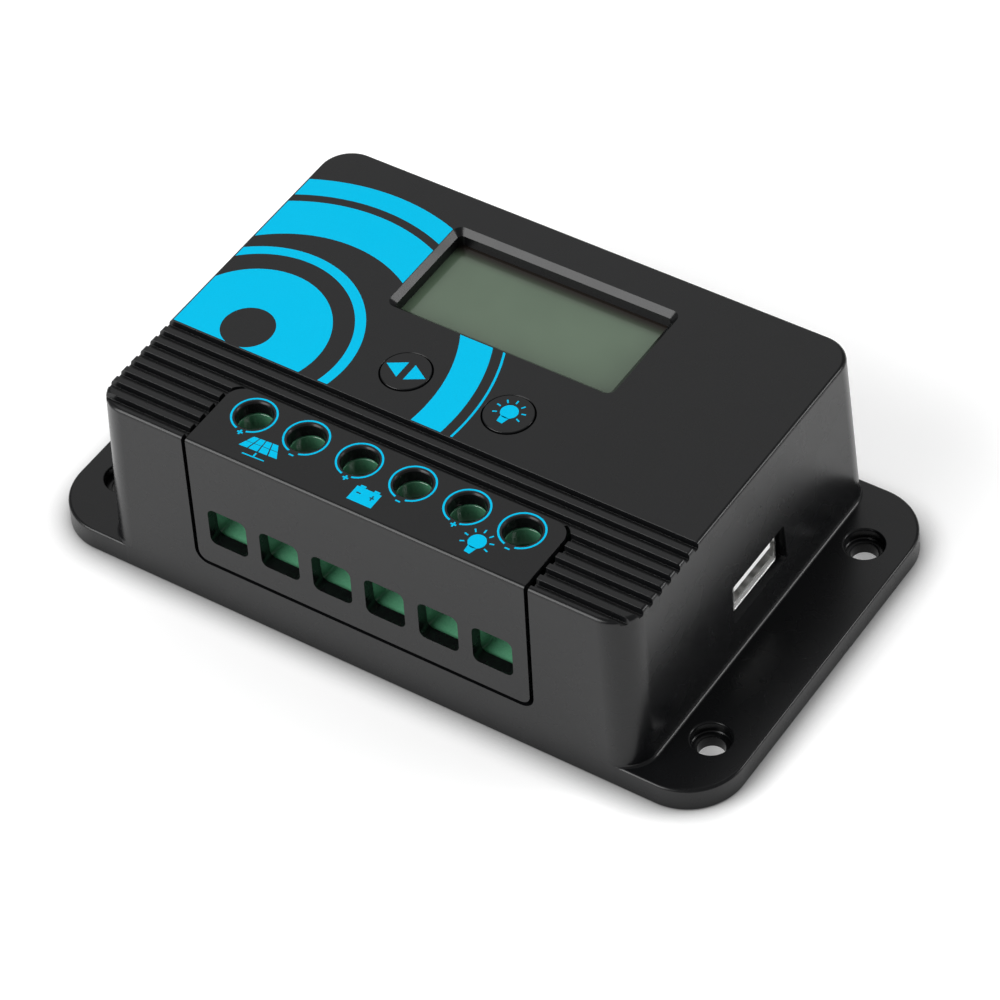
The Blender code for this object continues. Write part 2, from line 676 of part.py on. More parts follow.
def make_board_parts(black, ferrite, alloy, blue, header):
    base = BOARD_TOP + GAP
    spreader = box((-30.0, 1.0, BASE_T + GAP), (30.0, 19.0, MOSFET_Z - GAP))
    add_object("heat_spreader", spreader, alloy)
    make_mosfets(black)
    make_capacitor("capacitor_1", CAPACITOR_X, 11.0, blue)
    make_capacitor("capacitor_2", CAPACITOR_X, -4.0, blue)
    drum = turned([(4.6, base), (5.0, base + 0.4), (5.0, base + 1.6), (3.9, base + 1.8),
                   (3.9, base + 6.2), (5.0, base + 6.4), (5.0, base + 7.6), (4.6, base + 8.0)], 16)
    finish(add_object("inductor", drum, ferrite, (22.0, -6.0, 0)), "inductor")
    add_object("microcontroller", box((-5.0, 7.0, base), (5.0, 17.0, base + 1.4)), black)
    strap = add_object("current_shunt", box((-26.0, -9.0, base), (-14.0, -6.0, base + 3.6)), alloy)
    boolean(strap, box((-24.8, -10.0, base - 1), (-15.2, -5.0, base + 2.6)))
    add_object("board_link", box((-10.2, -1.3, base), (10.2, 1.3, DISPLAY_Z - GAP)), header)


# ---- fasteners ----------------------------------------------------------
def make_screws(steel):
    """Countersunk case screws, pan head board screws and display board screws."""
    case = add_object("case_screw_1", turned([(2.75, 0.1), (2.75, 0.35), (SHANK_R, 1.9),
                                              (SHANK_R, 12.2), (0.6, 13.0)], 12), steel)
    for cut in (box((-1.6, -0.3, -1.0), (1.6, 0.3, 0.9)), box((-0.3, -1.6, -1.0), (0.3, 1.6, 0.9))):
        boolean(case, cut)
    seat = BOARD_TOP + GAP
    board = add_object("board_screw_1", turned([(0.6, 4.0), (SHANK_R, 4.8), (SHANK_R, seat),
                                                (2.6, seat), (2.6, seat + 1.0),
                                                (2.0, seat + 1.6)], 12), steel)
    for cut in (box((-1.6, -0.3, seat + 0.8), (1.6, 0.3, seat + 2.7)),
                box((-0.3, -1.6, seat + 0.8), (0.3, 1.6, seat + 2.7))):
        boolean(board, cut)
    low = DISPLAY_Z - GAP
    display = add_object("display_screw_1", turned([(1.6, low - 1.5), (1.9, low - 1.1), (1.9, low),
                                                    (FINE_SHANK_R, low), (FINE_SHANK_R, 31.4),
                                                    (0.4, 32.0)], 8), steel)
    boolean(display, box((-1.3, -0.25, low - 3.0), (1.3, 0.25, low - 0.9)))
    finish(case, "case_screw")
    finish(board, "board_screw")
    finish(display, "display_screw")
    for first, stem, places in ((case, "case_screw", corners(CASE_SCREW_X, CASE_SCREW_Y)),
                                (board, "board_screw", corners(BOARD_SCREW_X, BOARD_SCREW_Y))):
        first.location = Vector((*places[0], 0)) * MM
        for index, (x, y) in enumerate(places[1:], start=2):
            copy_object(first, f"{stem}_{index}", (x, y, 0))
    display.location = Vector((-DISPLAY_SCREW_X, DISPLAY_SCREW_Y, 0)) * MM
    copy_object(display, "display_screw_2", (DISPLAY_SCREW_X, DISPLAY_SCREW_Y, 0))


def main():
    for obj in list(bpy.data.objects):
        bpy.data.objects.remove(obj)

    case_plastic = material("case_plastic", (0.022, 0.023, 0.024), 0.42)
    cover_plastic = material("cover_plastic", (0.024, 0.025, 0.026), 0.45)
    green = material("terminal_green", (0.03, 0.20, 0.09), 0.35)
    steel = material("zinc_steel", (0.72, 0.72, 0.70), 0.32, 1.0)
    plated = material("plated_cage", (0.62, 0.60, 0.55), 0.35, 1.0)
    copper = material("tinned_copper", (0.78, 0.70, 0.60), 0.30, 1.0)
    glass = material("lcd_glass", (0.12, 0.17, 0.11), 0.12)
    white = material("white_plastic", (0.80, 0.80, 0.78), 0.40)
    rubber = material("elastomer", (0.30, 0.28, 0.27), 0.70)
    laminate = material("board_laminate", (0.02, 0.14, 0.06), 0.45)
    epoxy = material("package_epoxy", (0.03, 0.03, 0.03), 0.50)
    ferrite = material("ferrite", (0.10, 0.10, 0.11), 0.60)
    alloy = material("aluminium", (0.75, 0.76, 0.77), 0.38, 1.0)
    sleeve = material("capacitor_sleeve", (0.02, 0.04, 0.16), 0.35)
    red = material("plunger_red", (0.45, 0.05, 0.03), 0.40)

    make_case_shell(case_plastic)
    make_terminal_cover(cover_plastic)
    make_base_cover(case_plastic)
    make_terminals(green, steel, plated, copper)
    make_display(laminate, glass, white, rubber, epoxy)
    make_buttons(case_plastic, steel, red)
    make_main_board(laminate)
    make_usb(steel, white)
    make_board_parts(epoxy, ferrite, alloy, sleeve, epoxy)
    make_screws(steel)


main()
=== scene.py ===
"""Looks of the solar charge controller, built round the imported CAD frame.

Lengths are in millimetres and every finished piece is scaled by MM into metres, in the
frame's own axes: +X along the terminal front, +Y to the back, +Z up, the origin in the
middle of the underside.
"""
import math

import bmesh
import bpy
from mathutils import Matrix, Quaternion, Vector

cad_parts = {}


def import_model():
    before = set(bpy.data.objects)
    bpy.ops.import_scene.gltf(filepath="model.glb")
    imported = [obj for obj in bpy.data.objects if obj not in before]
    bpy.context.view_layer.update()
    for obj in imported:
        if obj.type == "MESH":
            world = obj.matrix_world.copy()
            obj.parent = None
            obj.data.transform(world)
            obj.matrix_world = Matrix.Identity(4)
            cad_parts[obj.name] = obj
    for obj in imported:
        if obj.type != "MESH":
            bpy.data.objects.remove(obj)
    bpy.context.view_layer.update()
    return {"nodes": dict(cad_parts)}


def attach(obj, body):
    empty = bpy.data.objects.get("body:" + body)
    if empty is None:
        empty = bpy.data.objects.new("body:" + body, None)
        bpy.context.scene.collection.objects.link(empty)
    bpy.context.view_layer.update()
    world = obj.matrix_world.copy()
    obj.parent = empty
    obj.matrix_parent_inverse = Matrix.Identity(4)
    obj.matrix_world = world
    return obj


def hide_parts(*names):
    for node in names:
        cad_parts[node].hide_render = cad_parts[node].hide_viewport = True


MM = 0.001

# ---- the case, as in the CAD source -------------------------------------
LENGTH = 129.5
DEPTH = 73.0
HEIGHT = 36.0
DRAFT = 0.0437            # the walls lean in by this much for each unit of height
BODY_HALF_X = 51.9        # half length of the box part, at the underside
CORNER_R = 5.5
EDGE_R = 0.65
WALL = 2.2
TOP_WALL = 2.5
BOSS_SINK = 0.9           # how far a boss runs into the top wall
GAP = 0.3                 # between pieces that touch
FLANGE_T = 4.4
FLANGE_R = 10.0
FLANGE_EDGE_R = 0.45
FOOT_FILLET = 0.8         # where the end walls meet the flanges
FOOT_SINK = 0.05          # how far under the flange top that fillet begins
FLANGE_SKIN = 0.04        # the box front is this much proud of the flange front
FLANGE_LOW_CHAMFER = 0.25
BODY_START_Z = 0.6
HOLE_X = 57.4
HOLE_Y = 23.85
HOLE_R = 2.25
COUNTERBORE_R = 3.65
COUNTERBORE_DEPTH = 2.1
COUNTERBORE_LIP = 0.35
HOLE_EDGE = 0.25
RIB_PITCH = 2.64
RIB_COUNT = 8
FIRST_GROOVE_Y = -14.6
GROOVE_TOP = 1.5
GROOVE_FLOOR = 0.9
GROOVE_DEPTH = 1.0
CREST_FRONT_R = 0.09
CREST_BACK_R = 0.28
GROOVE_FILLET = 0.05
TANGENT_SLACK = 1.001     # keeps a crest's arc clear of its corner
CUT_ABOVE = 0.6           # how far a groove's cutter rises over the top
CUTTER_FAR = 60.0         # where long cutters end, well outside the case

# ---- terminal cover and terminals ---------------------------------------
COVER_HALF_X = 32.0
COVER_BACK_Y = -20.65
COVER_BOTTOM_Z = 9.85
COVER_INNER_Y = -33.5
COVER_INNER_Z = 33.6
COVER_GROOVE = 0.75       # width of the groove around the terminal cover
COVER_LOW_R = 1.8
COVER_BACK_R = 3.0
COVER_START_Z = 3.0
COVER_TAB_Z = (15.0, 27.0)
COVER_TAB_HEIGHT = 4.0
COVER_TAB_X = 31.0
COVER_TAB_REACH = 1.7
POLES = 6
PITCH = 10.16
SCREW_Y = -25.05
ACCESS_R = 2.95           # screw access hole in the cover
ACCESS_CHAMFER = 0.3
WELL_R = 3.0              # screw well in the terminal block
WIRE_Z = 18.4
WIRE_HOLE = 7.5
WIRE_HOLE_R = 1.3
WIRE_MOUTH_R = 0.06
MOUTH_CLEAR = 0.02
MOUTH_STEPS = 4
BLOCK_FRONT_Y = -33.2
BLOCK_BACK_Y = -18.2
BLOCK_TOP_Z = 33.2
CHAMBER_HALF = 4.05
CHAMBER_LOW_Z = 13.2
TUNNEL_HALF = 2.9
FUNNEL_HALF = 4.4
FUNNEL_END_Y = -29.4
SHANK_R = 1.5
HEAD_R = 2.65
SLOT_HALF_WIDTH = 0.4
SLOT_DEPTH = 0.9
THREAD_TURNS = 8
THREAD_DEPTH = 0.25
SCREW_TIP_Z = 23.4
SCREW_HEAD_Z = 27.9
SCREW_TOP_Z = 29.5
CAGE_TOP_Z = 24.9
CAGE_TRAVEL = 2.4
BAR_HALF_X = 2.4
BAR_TOP_Z = 23.1
LEG_FAR = 5.35
BOARD_TOP = 11.6

# ---- display, buttons, USB socket ---------------------------------------
WINDOW_HALF_X = 21.67
WINDOW_FRONT_Y = 6.45
WINDOW_BACK_Y = 27.8
WINDOW_CHAMFER = 1.0
WINDOW_Y = (WINDOW_FRONT_Y + WINDOW_BACK_Y) / 2
WINDOW_R = 1.6
WALL_SHADOW_START = 4.4          # painted shadow of the window's back wall: the display is painted brown from here to the end distance below, measured in from its back edge
WALL_SHADOW_END = 1.2
GLASS_TOP_Z = 32.7
GLASS_LOW_Z = 30.5
GLASS_HALF_X = 23.0
GLASS_HALF_Y = 12.5
PLATE_T = 0.9
PLATE_GAP = 0.02
DISPLAY_TOP = 27.1
DISPLAY_SCREW_X = 24.5
DISPLAY_SCREW_Y = -8.5
DISPLAY_BOSS_R = 2.8
DISPLAY_PILOT_R = 1.1
BUTTON_X = 9.8
BUTTON_Y = -5.05
BUTTON_R = 4.2
BUTTON_PROUD = 0.2
BUTTON_EDGE_R = 0.16
BUTTON_CLEARANCE = 0.22
BUTTON_RIM_R = 5.3
BUTTON_RIM_Z = 32.2
USB_Y = 1.55
USB_Z = 14.9
USB_HALF_Y = 6.55
USB_HALF_Z = 2.85
USB_MOUTH_X = 50.3
USB_DEPTH = 13.9
USB_FLARE = 0.4
USB_FLARE_LENGTH = 0.9
TONGUE_SETBACK = 0.35
TONGUE_HALF_Y = 5.55
TONGUE_LOW = 0.36
CORE_HALF_Y = 5.9
CORE_HALF_Z = 2.2
CONTACT_YS = (-3.5, -1.0, 1.0, 3.5)
CONTACT_HALF_Y = 0.5
RECESS_HALF_Y = 7.75
RECESS_HALF_Z = 3.58
RECESS_FLARE = 0.35
RECESS_R = 0.6

# ---- base cover and case screws -----------------------------------------
BASE_T = 2.0
CASE_SCREW_X = 45.5
CASE_SCREW_Y = 30.0
CASE_BOSS_R = 3.6
SCREW_PILOT_R = 1.5
BOARD_SCREW_X = 43.5
BOARD_SCREW_Y = 21.0
BOARD_Z = 10.0
STANDOFF_R = 3.2
SINK_HEAD_R = 2.75
SINK_SHANK_R = 1.2
SINK_END_Z = 13.0
CROSS_REACH = 1.6
CROSS_HALF = 0.3

# ---- printed marks ------------------------------------------------------
INK_SUNK = 0.03
INK_PROUD = 0.03
RING_IN = 3.56
RING_OUT = 3.89
RING_GAP_DEG = 14.0
RAY_COUNT = 7
RAY_FIRST_DEG = 205
RAY_STEP_DEG = 38
ART_LEFT_X = -49.75
ART_FRONT_Y = -13.6
ART_WINDOW_X = -21.8
ART_WINDOW_Y = 6.3
SMALL_ARCS = (-38.0, -9.2)
LARGE_ARCS = (-34.0, -9.2)

# ---- camera and light ---------------------------------------------------
LENS = 156.398
SENSOR = 36.0
AZIMUTH = 37.339
ELEVATION = 46.148
ROLL = -5.640
TARGET = (5.115, -3.322, 12.482)
DISTANCE = 704.97
FLOOR_HALF = 3000.0
FLOOR_CLEAR = 0.02
FLOOR_GLOW = 0.28         # emission strength of the floor
CONTACT_SHADOW_REACH = 6.0       # painted contact shadow: the floor is painted darker within this distance of a piece
WORLD_STRENGTH = 0.26
LIGHT_TARGET = (0, 0, 0.015) # in metres, like the lights' distances and sizes


# ---- mesh helpers, in millimetres ---------------------------------------
def rounded_rectangle(half_x, half_y, radius, segments=8, centre=(0, 0)):
    """Points of a rounded rectangle, counter-clockwise from the lower right corner."""
    points = []
    for quarter, (sx, sy) in enumerate(((1, -1), (1, 1), (-1, 1), (-1, -1))):
        for step in range(segments + 1):
            angle = math.radians(90 * (quarter - 1) + 90 * step / segments)
            points.append((centre[0] + sx * (half_x - radius) + radius * math.cos(angle),
                           centre[1] + sy * (half_y - radius) + radius * math.sin(angle)))
    return points


def rounded(points, radii, segments=5):
    """A polygon with an arc of its own radius at each corner; 0 keeps the corner."""
    result = []
    for index, (point, radius) in enumerate(zip(points, radii)):
        here = Vector(point)
        if radius == 0:
            result.append(tuple(here))
            continue
        back = (Vector(points[index - 1]) - here).normalized()
        ahead = (Vector(points[(index + 1) % len(points)]) - here).normalized()
        half = back.angle(ahead) / 2
        centre = here + (back + ahead).normalized() * radius / math.sin(half)
        first = here + back * radius / math.tan(half) - centre
        last = here + ahead * radius / math.tan(half) - centre
        sweep = math.pi - 2 * half
        for step in range(segments + 1):
            share = step / segments
            arm = (first * math.sin((1 - share) * sweep) + last * math.sin(share * sweep))
            result.append(tuple(centre + arm / math.sin(sweep)))
    return result


def loft(rings):
    """Closed bmesh through rings of 3-D points that all have the same count."""
    bm = bmesh.new()
    loops = [[bm.verts.new(point) for point in ring] for ring in rings]
    count = len(loops[0])
    for lower, upper in zip(loops, loops[1:]):
        for i in range(count):
            j = (i + 1) % count
            bm.faces.new((lower[i], lower[j], upper[j], upper[i]))
    bm.faces.new(list(reversed(loops[0])))
    bm.faces.new(loops[-1])
    bmesh.ops.recalc_face_normals(bm, faces=bm.faces)
    return bm


def prism(outline, low, high):
    return loft([[(x, y, z) for x, y in outline] for z in (low, high)])


def box(low, high):
    x0, y0, z0 = low
    x1, y1, z1 = high
    return prism([(x0, y0), (x1, y0), (x1, y1), (x0, y1)], z0, z1)


def turned(profile, segments=48):
    """Solid of revolution about Z; profile holds (radius, z) from bottom to top."""
    rings = []
    for radius, z in profile:
        rings.append([(radius * math.cos(math.tau * step / segments),
                       radius * math.sin(math.tau * step / segments), z)
                      for step in range(segments)])
    return loft(rings)


def moved(bm, offset):
    bmesh.ops.translate(bm, vec=offset, verts=bm.verts)
    return bm


def merged(parts):
    """Several closed bmeshes as one."""
    whole = bmesh.new()
    for part in parts:
        mesh = bpy.data.meshes.new("merge")
        part.to_mesh(mesh)
        part.free()
        whole.from_mesh(mesh)
        bpy.data.meshes.remove(mesh)
    return whole


def solid(name, bm):
    """A closed bmesh as an object, still in millimetres."""
    mesh = bpy.data.meshes.new(name)
    bm.to_mesh(mesh)
    bm.free()
    obj = bpy.data.objects.new(name, mesh)
    bpy.context.scene.collection.objects.link(obj)
    return obj


def boolean(target, bm, operation="DIFFERENCE"):
    tool = solid("cutter", bm)
    modifier = target.modifiers.new("boolean", "BOOLEAN")
    modifier.operation = operation
    modifier.object = tool
    modifier.solver = "EXACT"
    bpy.context.view_layer.update()
    shape = target.evaluated_get(bpy.context.evaluated_depsgraph_get())
    result = bpy.data.meshes.new_from_object(shape)
    target.modifiers.clear()
    old = target.data
    target.data = result
    bpy.data.meshes.remove(old)
    bpy.data.objects.remove(tool)


def soften(obj, width, segments=2, angle=35.0):
    """Round the sharp edges by width millimetres and shade the flats flat."""
    if width:
        bevel = obj.modifiers.new("edges", "BEVEL")
        bevel.width = width * MM
        bevel.segments = segments
        bevel.limit_method = "ANGLE"
        bevel.angle_limit = math.radians(angle)
        bevel.miter_outer = "MITER_ARC"
    normals = obj.modifiers.new("normals", "WEIGHTED_NORMAL")
    normals.keep_sharp = True


def place(obj, mat, body, stands_for=(), edge=0.0, angle=32.0):
    """Bring a finished piece into metres, dress it and let it ride on its body."""
    obj.data.transform(Matrix.Scale(MM, 4))
    obj.data.name = obj.name
    obj.data.materials.clear()
    obj.data.materials.append(mat)
    obj.data.shade_smooth()
    obj.data.set_sharp_from_angle(angle=math.radians(angle))
    soften(obj, edge)
    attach(obj, body)
    if stands_for:
        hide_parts(*stands_for)
    return obj


def pole_x(index):
    return (index - (POLES - 1) / 2) * PITCH


def corners(x, y):
    return [(sx * x, sy * y) for sx in (-1, 1) for sy in (-1, 1)]


# ---- materials ----------------------------------------------------------
class Nodes:
    """A material's node tree with the few links that every finish here needs."""

    def __init__(self, name):
        self.mat = bpy.data.materials.new(name)
        self.mat.use_nodes = True
        self.tree = self.mat.node_tree
        self.shader = self.tree.nodes["Principled BSDF"]
        self.place = self.add("ShaderNodeTexCoord").outputs["Object"]

    def add(self, kind, **settings):
        node = self.tree.nodes.new(kind)
        for key, value in settings.items():
            setattr(node, key, value)
        return node

    def link(self, source, target):
        self.tree.links.new(source, target)

    def noise(self, size, detail=3.0, stretch=(1, 1, 1)):
        """Noise whose features are about size millimetres across."""
        mapping = self.add("ShaderNodeMapping")
        mapping.inputs["Scale"].default_value = [share / (size * MM) for share in stretch]
        self.link(self.place, mapping.inputs["Vector"])
        noise = self.add("ShaderNodeTexNoise")
        noise.inputs["Scale"].default_value = 1.0
        noise.inputs["Detail"].default_value = detail
        self.link(mapping.outputs["Vector"], noise.inputs["Vector"])
        return noise.outputs["Fac"]

    def blend(self, factor, low, high, spread=(0.3, 0.7)):
        """Colour that goes from low to high as factor crosses spread."""
        ramp = self.add("ShaderNodeValToRGB")
        ramp.color_ramp.elements[0].position = spread[0]
        ramp.color_ramp.elements[1].position = spread[1]
        ramp.color_ramp.elements[0].color = (*low, 1)
        ramp.color_ramp.elements[1].color = (*high, 1)
        self.link(factor, ramp.inputs["Fac"])
        return ramp.outputs["Color"]

    def between(self, factor, low, high):
        reach = self.add("ShaderNodeMapRange")
        reach.inputs["From Min"].default_value = 0.3
        reach.inputs["From Max"].default_value = 0.7
        reach.inputs["To Min"].default_value = low
        reach.inputs["To Max"].default_value = high
        self.link(factor, reach.inputs["Value"])
        return reach.outputs["Result"]

    def bump(self, height, depth, strength=1.0):
        """Surface relief of depth millimetres."""
        node = self.add("ShaderNodeBump")
        node.inputs["Distance"].default_value = depth * MM
        node.inputs["Strength"].default_value = strength
        self.link(height, node.inputs["Height"])
        self.link(node.outputs["Normal"], self.shader.inputs["Normal"])


def shade(colour, amount):
    return tuple(min(1.0, channel * amount) for channel in colour)


def surface(name, colour, roughness, metallic=0.0, grain=0.3, spread=0.1, depth=0.004,
            rough_spread=0.05, stretch=(1, 1, 1), blotch=6.0, specular=0.5):
    """A finish with grain in its tone and relief, and gloss that changes slightly over larger
    patches.
    """
    n = Nodes(name)
    fine = n.noise(grain, stretch=stretch)
    wide = n.noise(blotch, detail=2.0)
    n.link(n.blend(fine, shade(colour, 1 - spread), shade(colour, 1 + spread)),
           n.shader.inputs["Base Color"])
    n.link(n.between(wide, roughness - rough_spread, roughness + rough_spread),
           n.shader.inputs["Roughness"])
    n.shader.inputs["Metallic"].default_value = metallic
    n.shader.inputs["Specular IOR Level"].default_value = specular
    n.bump(fine, depth)
    return n.mat


def board_laminate():
    """Green solder mask with a web of slightly lighter tracks."""
    n = Nodes("board_mask")
    mapping = n.add("ShaderNodeMapping")
    mapping.inputs["Scale"].default_value = (1 / MM, 1 / MM, 1 / MM)
    n.link(n.place, mapping.inputs["Vector"])
    cells = n.add("ShaderNodeTexVoronoi", distance="MANHATTAN", feature="DISTANCE_TO_EDGE")
    cells.inputs["Scale"].default_value = 0.35
    n.link(mapping.outputs["Vector"], cells.inputs["Vector"])
    n.link(n.blend(cells.outputs["Distance"], (0.03, 0.22, 0.10), (0.015, 0.11, 0.05), (0.05, 0.1)),
           n.shader.inputs["Base Color"])
    n.link(n.between(n.noise(3.0), 0.32, 0.45), n.shader.inputs["Roughness"])
    n.bump(cells.outputs["Distance"], 0.02, 0.3)
    return n.mat


def green_plastic():
    """Slightly translucent moulded green."""
    n = Nodes("terminal_green_moulding")
    fine = n.noise(0.25)
    n.link(n.blend(fine, (0.068, 0.235, 0.132), (0.092, 0.285, 0.162)),
           n.shader.inputs["Base Color"])
    n.link(n.between(n.noise(2.5), 0.09, 0.15), n.shader.inputs["Roughness"])
    n.shader.inputs["Specular IOR Level"].default_value = 0.8
    n.shader.inputs["Subsurface Weight"].default_value = 0.04
    n.shader.inputs["Subsurface Radius"].default_value = (0.3, 1.0, 0.5)
    n.shader.inputs["Subsurface Scale"].default_value = 1.2 * MM
    n.bump(fine, 0.003)
    return n.mat


def polariser():
    """Unlit reflective display: green-grey, with a painted brown shadow of the window wall along
    its back edge.
    """
    n = Nodes("lcd_polariser")
    wide = n.noise(9.0, detail=1.0)
    tone = n.blend(wide, (0.078, 0.116, 0.076), (0.086, 0.127, 0.084))
    # painted shadow: the colour darkens towards the window's back wall along Y
    apart = n.add("ShaderNodeSeparateXYZ")
    n.link(n.place, apart.inputs["Vector"])
    wall_shadow = n.add("ShaderNodeMapRange", interpolation_type="SMOOTHSTEP")
    wall_shadow.inputs["From Min"].default_value = (WINDOW_BACK_Y - WALL_SHADOW_START) * MM
    wall_shadow.inputs["From Max"].default_value = (WINDOW_BACK_Y - WALL_SHADOW_END) * MM
    n.link(apart.outputs["Y"], wall_shadow.inputs["Value"])
    mix = n.add("ShaderNodeMix", data_type="RGBA")
    n.link(wall_shadow.outputs["Result"], mix.inputs["Factor"])
    n.link(tone, mix.inputs[6])
    # colour of the painted shadow, dark brown
    mix.inputs[7].default_value = (0.022, 0.018, 0.015, 1)
    n.link(mix.outputs[2], n.shader.inputs["Base Color"])
    n.link(n.between(n.noise(0.4), 0.10, 0.16), n.shader.inputs["Roughness"])
    return n.mat


def make_materials():
    black = dict(grain=0.22, spread=0.20, depth=0.003, rough_spread=0.02, specular=0.31)
    return {
        "case": surface("case_black_satin", (0.0034, 0.0036, 0.0040), 0.27, **black),
        "cover": surface("cover_black_satin", (0.0036, 0.0038, 0.0041), 0.27, **black),
        "cap": surface("button_black_satin", (0.0034, 0.0036, 0.0040), 0.25, **black),
        "ink": surface("cyan_ink", (0.0, 0.43, 0.68), 0.50, spread=0.03, grain=0.2, depth=0.002,
                       specular=0.05),
        "green": green_plastic(),
        "steel": surface("zinc_plated_steel", (0.80, 0.80, 0.79), 0.22, 1.0, grain=0.25,
                         spread=0.10, stretch=(1, 0.25, 1), depth=0.002),
        "plated": surface("nickel_plated_cage", (0.58, 0.56, 0.51), 0.33, 1.0, grain=0.3,
                          spread=0.10, stretch=(0.3, 1, 1), depth=0.003),
        "copper": surface("tinned_copper_bar", (0.74, 0.67, 0.58), 0.28, 1.0, grain=0.3,
                          spread=0.12, stretch=(0.3, 1, 1), depth=0.003),
        "glass": surface("lcd_plate_glass", (0.15, 0.20, 0.15), 0.08, grain=0.6, spread=0.05,
                         depth=0.0005),
        "polariser": polariser(),
        "white": surface("white_moulding", (0.86, 0.86, 0.85), 0.40, grain=0.3, spread=0.03),
        "rubber": surface("grey_elastomer", (0.26, 0.25, 0.24), 0.70, grain=0.25, spread=0.15,
                          stretch=(2, 0.2, 0.2)),
        "board": board_laminate(),
        "epoxy": surface("matt_black_epoxy", (0.028, 0.028, 0.029), 0.52, grain=0.15,
                         spread=0.25, depth=0.01),
        "ferrite": surface("ferrite_grey", (0.09, 0.09, 0.10), 0.62, grain=0.2, spread=0.25,
                           depth=0.015),
        "aluminium": surface("brushed_aluminium", (0.72, 0.73, 0.74), 0.36, 1.0, grain=0.2,
                             spread=0.10, stretch=(0.08, 1, 1)),
        "sleeve": surface("capacitor_sleeve_blue", (0.018, 0.035, 0.150), 0.34, grain=0.5,
                          spread=0.15, stretch=(1, 1, 0.2)),
        "red": surface("red_plunger", (0.42, 0.045, 0.030), 0.40, grain=0.3, spread=0.08),
    }


# ---- case ---------------------------------------------------------------
def body_half_x(z):
    return BODY_HALF_X - DRAFT * z


def body_half_y(z):
    return DEPTH / 2 - DRAFT * z


def body_solid(start_z, segments=16, steps=8):
    """The drafted box part with its foot fillet and rounded top edge."""
    levels = [(start_z, FOOT_FILLET, 0.0)]
    for step in range(steps):
        angle = math.radians(90 * step / steps)
        levels.append((FLANGE_T - FOOT_SINK + FOOT_FILLET * (1 - math.cos(angle)),
                       FOOT_FILLET * (1 - math.sin(angle)), 0.0))
    for step in range(steps + 1):
        angle = math.radians(90 * step / steps)
        levels.append((HEIGHT - EDGE_R * (1 - math.sin(angle)), 0.0,
                       EDGE_R * (1 - math.cos(angle))))
    rings = []
    for z, grow_x, inset in levels:
        outline = rounded_rectangle(body_half_x(z) + grow_x - inset,
                                    body_half_y(z) - inset, CORNER_R, segments)
        rings.append([(x, y, z) for x, y in outline])
    return loft(rings)


def flange_solid(steps=6):
    """The base plate whose two ends are the flanges."""
    levels = [(0.0, FLANGE_LOW_CHAMFER), (FLANGE_LOW_CHAMFER, 0.0)]
    for step in range(steps + 1):
        angle = math.radians(90 * step / steps)
        levels.append((FLANGE_T - FLANGE_EDGE_R * (1 - math.sin(angle)),
                       FLANGE_EDGE_R * (1 - math.cos(angle))))
    rings = []
    for z, inset in levels:
        outline = rounded_rectangle(LENGTH / 2 - inset,
                                    body_half_y(z) - FLANGE_SKIN - inset, FLANGE_R, 24)
        rings.append([(x, y, z) for x, y in outline])
    return loft(rings)


def cavity_solid():
    """The hollow inside the case, open at the bottom."""
    rings = []
    for z in (-1.0, HEIGHT - TOP_WALL):
        outline = rounded_rectangle(body_half_x(z) - WALL, body_half_y(z) - WALL,
                                    CORNER_R - WALL, 6)
        rings.append([(x, y, z) for x, y in outline])
    return loft(rings)


def groove_solids(half_x):
    """Cutters for the grooves, with rounded crests and filleted floors."""
    lean = math.atan((GROOVE_TOP - GROOVE_FLOOR) / 2 / GROOVE_DEPTH)
    back_reach = TANGENT_SLACK * CREST_BACK_R * math.tan((math.pi / 2 - lean) / 2)
    front_reach = TANGENT_SLACK * CREST_FRONT_R * math.tan((math.pi / 2 - lean) / 2)
    wide = GROOVE_TOP / 2
    narrow = GROOVE_FLOOR / 2
    section = rounded([(-narrow, -GROOVE_DEPTH), (narrow, -GROOVE_DEPTH), (wide, 0),
                       (wide + front_reach, 0), (wide + front_reach, CUT_ABOVE),
                       (-wide - back_reach, CUT_ABOVE), (-wide - back_reach, 0), (-wide, 0)],
                      [GROOVE_FILLET, GROOVE_FILLET, CREST_FRONT_R, 0, 0, 0, 0, CREST_BACK_R])
    grooves = []
    for index in range(RIB_COUNT):
        y = FIRST_GROOVE_Y - RIB_PITCH * index
        grooves.append(loft([[(x, y + sy, HEIGHT + sz) for sy, sz in section]
                             for x in (-half_x, half_x)]))
    return grooves


def cover_prisms(half_x, bottom, back, low_r, back_r):
    """Front view and top view outlines of the terminal cover, as two long prisms."""
    middle_z = (bottom + HEIGHT + 20) / 2
    front = rounded_rectangle(half_x, middle_z - bottom, low_r, 10, (0, middle_z))
    front_prism = loft([[(x, y, z) for x, z in front] for y in (back + 12, -CUTTER_FAR)])
    middle_y = (back - CUTTER_FAR) / 2
    top = rounded_rectangle(half_x, back - middle_y, back_r, 14, (0, middle_y))
    return front_prism, prism(top, 0.0, CUTTER_FAR)


def window_solid():
    """Cutter for the display window, with its chamfered edge."""
    half_y = (WINDOW_BACK_Y - WINDOW_FRONT_Y) / 2
    rings = []
    for z, inset in ((30.0, WINDOW_CHAMFER), (HEIGHT - WINDOW_CHAMFER, WINDOW_CHAMFER),
                     (HEIGHT, 0.0), (HEIGHT + 0.5, -0.5)):
        outline = rounded_rectangle(WINDOW_HALF_X - inset, half_y - inset,
                                    WINDOW_R - inset * 0.7, 8, (0, WINDOW_Y))
        rings.append([(x, y, z) for x, y in outline])
    return loft(rings)


